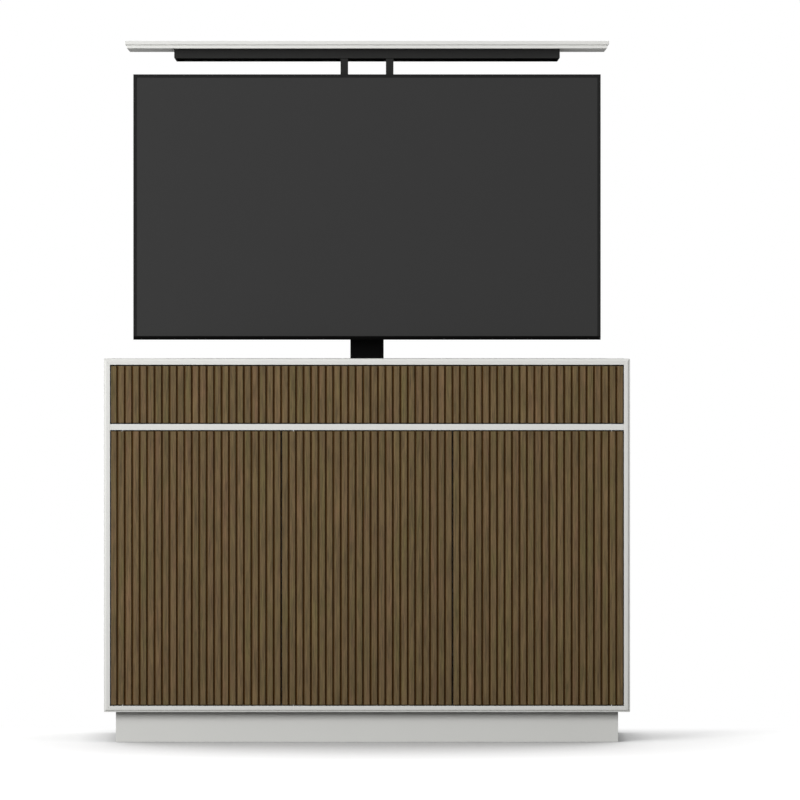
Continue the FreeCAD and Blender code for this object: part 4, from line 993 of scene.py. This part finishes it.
class CABINET_OT_set_stage(Operator):
    """Floor, light and camera"""

    bl_idname = "cabinet.set_stage"
    bl_label = "Set the stage"

    def execute(self, context):
        studio = context.scene.cabinet.studio
        low, high = (Vector(corner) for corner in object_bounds())
        self.lay_floor(studio, high.y, high.x)
        self.light_world(context.scene, studio)
        self.hang_softbox(studio)
        self.place_camera(context.scene, studio, low.y)
        return {"FINISHED"}

    def lay_floor(self, studio, rear, half_width):
        """One sheet of paper, with one finish before the cabinet and one behind it."""
        reach = studio.floor_reach
        mesh = bpy.data.meshes.new("floor")
        edge = [(-reach, -reach, 0), (reach, -reach, 0), (reach, reach, 0),
                (-reach, reach, 0)]
        mesh.from_pydata(edge, [], [(0, 1, 2, 3)])
        floor = new_object("floor", mesh)
        paper = Finish("floor_paper")
        axes = paper.axes(paper.place())
        whole = paper.node("ShaderNodeMixShader", {
            0: paper.spread(axes[1], 0.0, 1.0, rear, rear + studio.floor_fade),
            1: self.front_floor(paper, studio, axes, half_width),
            2: self.rear_floor(paper, studio)})
        output = paper.tree.nodes["Material Output"]
        paper.fill(output.inputs["Surface"], whole.outputs[0])
        paper.tree.nodes.remove(paper.shader)
        mesh.materials.append(paper.material)
        floor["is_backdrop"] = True

    def front_floor(self, paper, studio, axes, half_width):
        """Pale paper with the cabinet's shadow and a soft shade round its foot."""
        seen = paper.seen()
        away = paper.node("ShaderNodeVectorMath", {0: paper.place()}, operation="LENGTH")
        near = half_width + 200 * MM
        far = 3.5 * half_width
        bounce = paper.spread(away.outputs["Value"], studio.near_bounce,
                              studio.far_bounce, near, far)
        shade = paper.mix(seen, bounce, (studio.floor_colour,) * 3)
        fibres = paper.vary(paper.noise(scale=40.0, detail=3.0), 0.995, 1.005)
        surface = paper.node("ShaderNodeBsdfDiffuse", {"Color": paper.tone(shade, fibres)})
        # the shade beside the cabinet is paler than the one before it, and runs farther
        corner = half_width - 30 * MM
        beside = paper.spread(paper.math("ABSOLUTE", axes[0]), 0.0, 1.0,
                              corner - 100 * MM, corner + 100 * MM)
        depth = paper.spread(beside, studio.shade_front, studio.shade_side)
        light = self.open_share(paper, studio.shade_reach, depth,
                                paper.spread(beside, 1.0, studio.side_softness))
        strength = paper.math("MULTIPLY", paper.math("MULTIPLY", seen, studio.floor_glow),
                              light)
        glow = paper.node("ShaderNodeEmission", {"Strength": strength})
        return paper.node("ShaderNodeAddShader", {
            0: surface.outputs[0], 1: glow.outputs[0]}).outputs[0]

    def rear_floor(self, paper, studio):
        """White paper that keeps only a narrow shade along the rear foot."""
        # it isn't mirrored, so the undersides of the lid and its carrier stay dark
        white = paper.math("MULTIPLY", paper.seen(mirrored=0.0), self.open_share(
            paper, studio.contact_reach, studio.contact_shade))
        return paper.node("ShaderNodeEmission", {"Strength": paper.math(
            "ADD", white, paper.for_matt(studio.ground_light))}).outputs[0]

    def open_share(self, paper, reach, depth, softness=1.0):
        """How much light a place keeps next to what stands on it."""
        openness = paper.node("ShaderNodeAmbientOcclusion", {
            "Distance": reach}, samples=12).outputs["AO"]
        shaded = paper.math("MULTIPLY", depth, paper.math(
            "POWER", paper.math("SUBTRACT", 1.0, openness), softness))
        return paper.math("MAXIMUM", paper.math("SUBTRACT", 1.0, shaded), 0.0)

    def light_world(self, scene, studio):
        """A white backdrop that is also mirrored, and the softer light of the room."""
        world = bpy.data.worlds.new("studio")
        world.use_nodes = True
        scene.world = world
        sky = NodeMaker(world.node_tree)
        axes = sky.axes(sky.node("ShaderNodeTexCoord").outputs["Generated"])
        up = axes[2]
        # a bright wall behind the cabinet lights its back
        behind = sky.spread(axes[1], 0.0, studio.rear_light, 0.0, 0.5)
        over = sky.math("GREATER_THAN", up, 0.0)
        above = sky.math("MULTIPLY", over, sky.math(
            "ADD", behind, sky.spread(up, studio.sky_low, studio.sky_high)))
        # the ground beyond the floor's edge lights matt surfaces only
        below = sky.math("MULTIPLY", sky.math("LESS_THAN", up, 0.0),
                         sky.for_matt(studio.ground_light))
        room = sky.node("ShaderNodeBackground", {
            "Color": WHITE, "Strength": sky.math("ADD", below, above)})
        backdrop = sky.node("ShaderNodeBackground", {"Color": WHITE, "Strength": 1})
        both = sky.node("ShaderNodeMixShader", {
            0: sky.seen(mirrored=over), 1: room.outputs[0], 2: backdrop.outputs[0]})
        sky.fill(sky.tree.nodes["World Output"].inputs["Surface"], both.outputs[0])

    def hang_softbox(self, studio):
        data = bpy.data.lights.new("softbox", "AREA")
        data.shape = "SQUARE"
        data.size = studio.key_size
        data.energy = studio.key_power
        softbox = new_object("softbox", data)
        softbox.location = studio.key_place
        aim = Vector((0, 0, studio.key_aim)) - softbox.location
        softbox.rotation_euler = aim.to_track_quat("-Z", "Y").to_euler()

    def place_camera(self, scene, studio, front):
        data = bpy.data.cameras.new("camera")
        camera = new_object("camera", data)
        picture_width = studio.picture_size * studio.pixel_size
        data.lens = data.sensor_width * studio.view_distance / picture_width
        centre = studio.picture_size / 2
        data.shift_x = (centre - studio.axis_column) / studio.picture_size
        data.shift_y = (studio.horizon_row - centre) / studio.picture_size
        camera.location = (0, front - studio.view_distance, studio.camera_height)
        camera.rotation_euler = (math.pi / 2, 0, 0)
        scene.camera = camera
        scene.view_settings.view_transform = "Standard"


# ---------------------------------------------- registration

STEPS = [
    CABINET_OT_lacquer_boards, CABINET_OT_stain_slats, CABINET_OT_stain_backings,
    CABINET_OT_coat_steel, CABINET_OT_plate_fittings, CABINET_OT_mould_plastics,
    CABINET_OT_finish_screen, CABINET_OT_bolt_mount, CABINET_OT_detail_screen_back,
    CABINET_OT_detail_lift, CABINET_OT_thread_spindle, CABINET_OT_detail_control_box,
    CABINET_OT_drive_screws, CABINET_OT_set_stage,
]


class CABINET_PT_workshop(Panel):
    """The settings and steps that dress the cabinet"""

    bl_idname = "CABINET_PT_workshop"
    bl_label = "Lift cabinet"
    bl_space_type = "VIEW_3D"
    bl_region_type = "UI"
    bl_category = "Cabinet"

    def draw(self, context):
        for group in (context.scene.cabinet.finishes, context.scene.cabinet.studio):
            box = self.layout.box()
            for name in group.__annotations__:
                box.prop(group, name)
        for operator in STEPS:
            self.layout.operator(operator.bl_idname)


CLASSES = [CabinetFinishes, CabinetStudio, CabinetSettings, *STEPS,
           CABINET_PT_workshop]


def register():
    for item in CLASSES:
        bpy.utils.register_class(item)
    bpy.types.Scene.cabinet = PointerProperty(type=CabinetSettings)


def unregister():
    del bpy.types.Scene.cabinet
    for item in reversed(CLASSES):
        bpy.utils.unregister_class(item)


def main():
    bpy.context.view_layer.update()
    register()
    for operator in STEPS:
        group, name = operator.bl_idname.split(".")
        getattr(getattr(bpy.ops, group), name)()


if __name__ == "__main__":
    main()
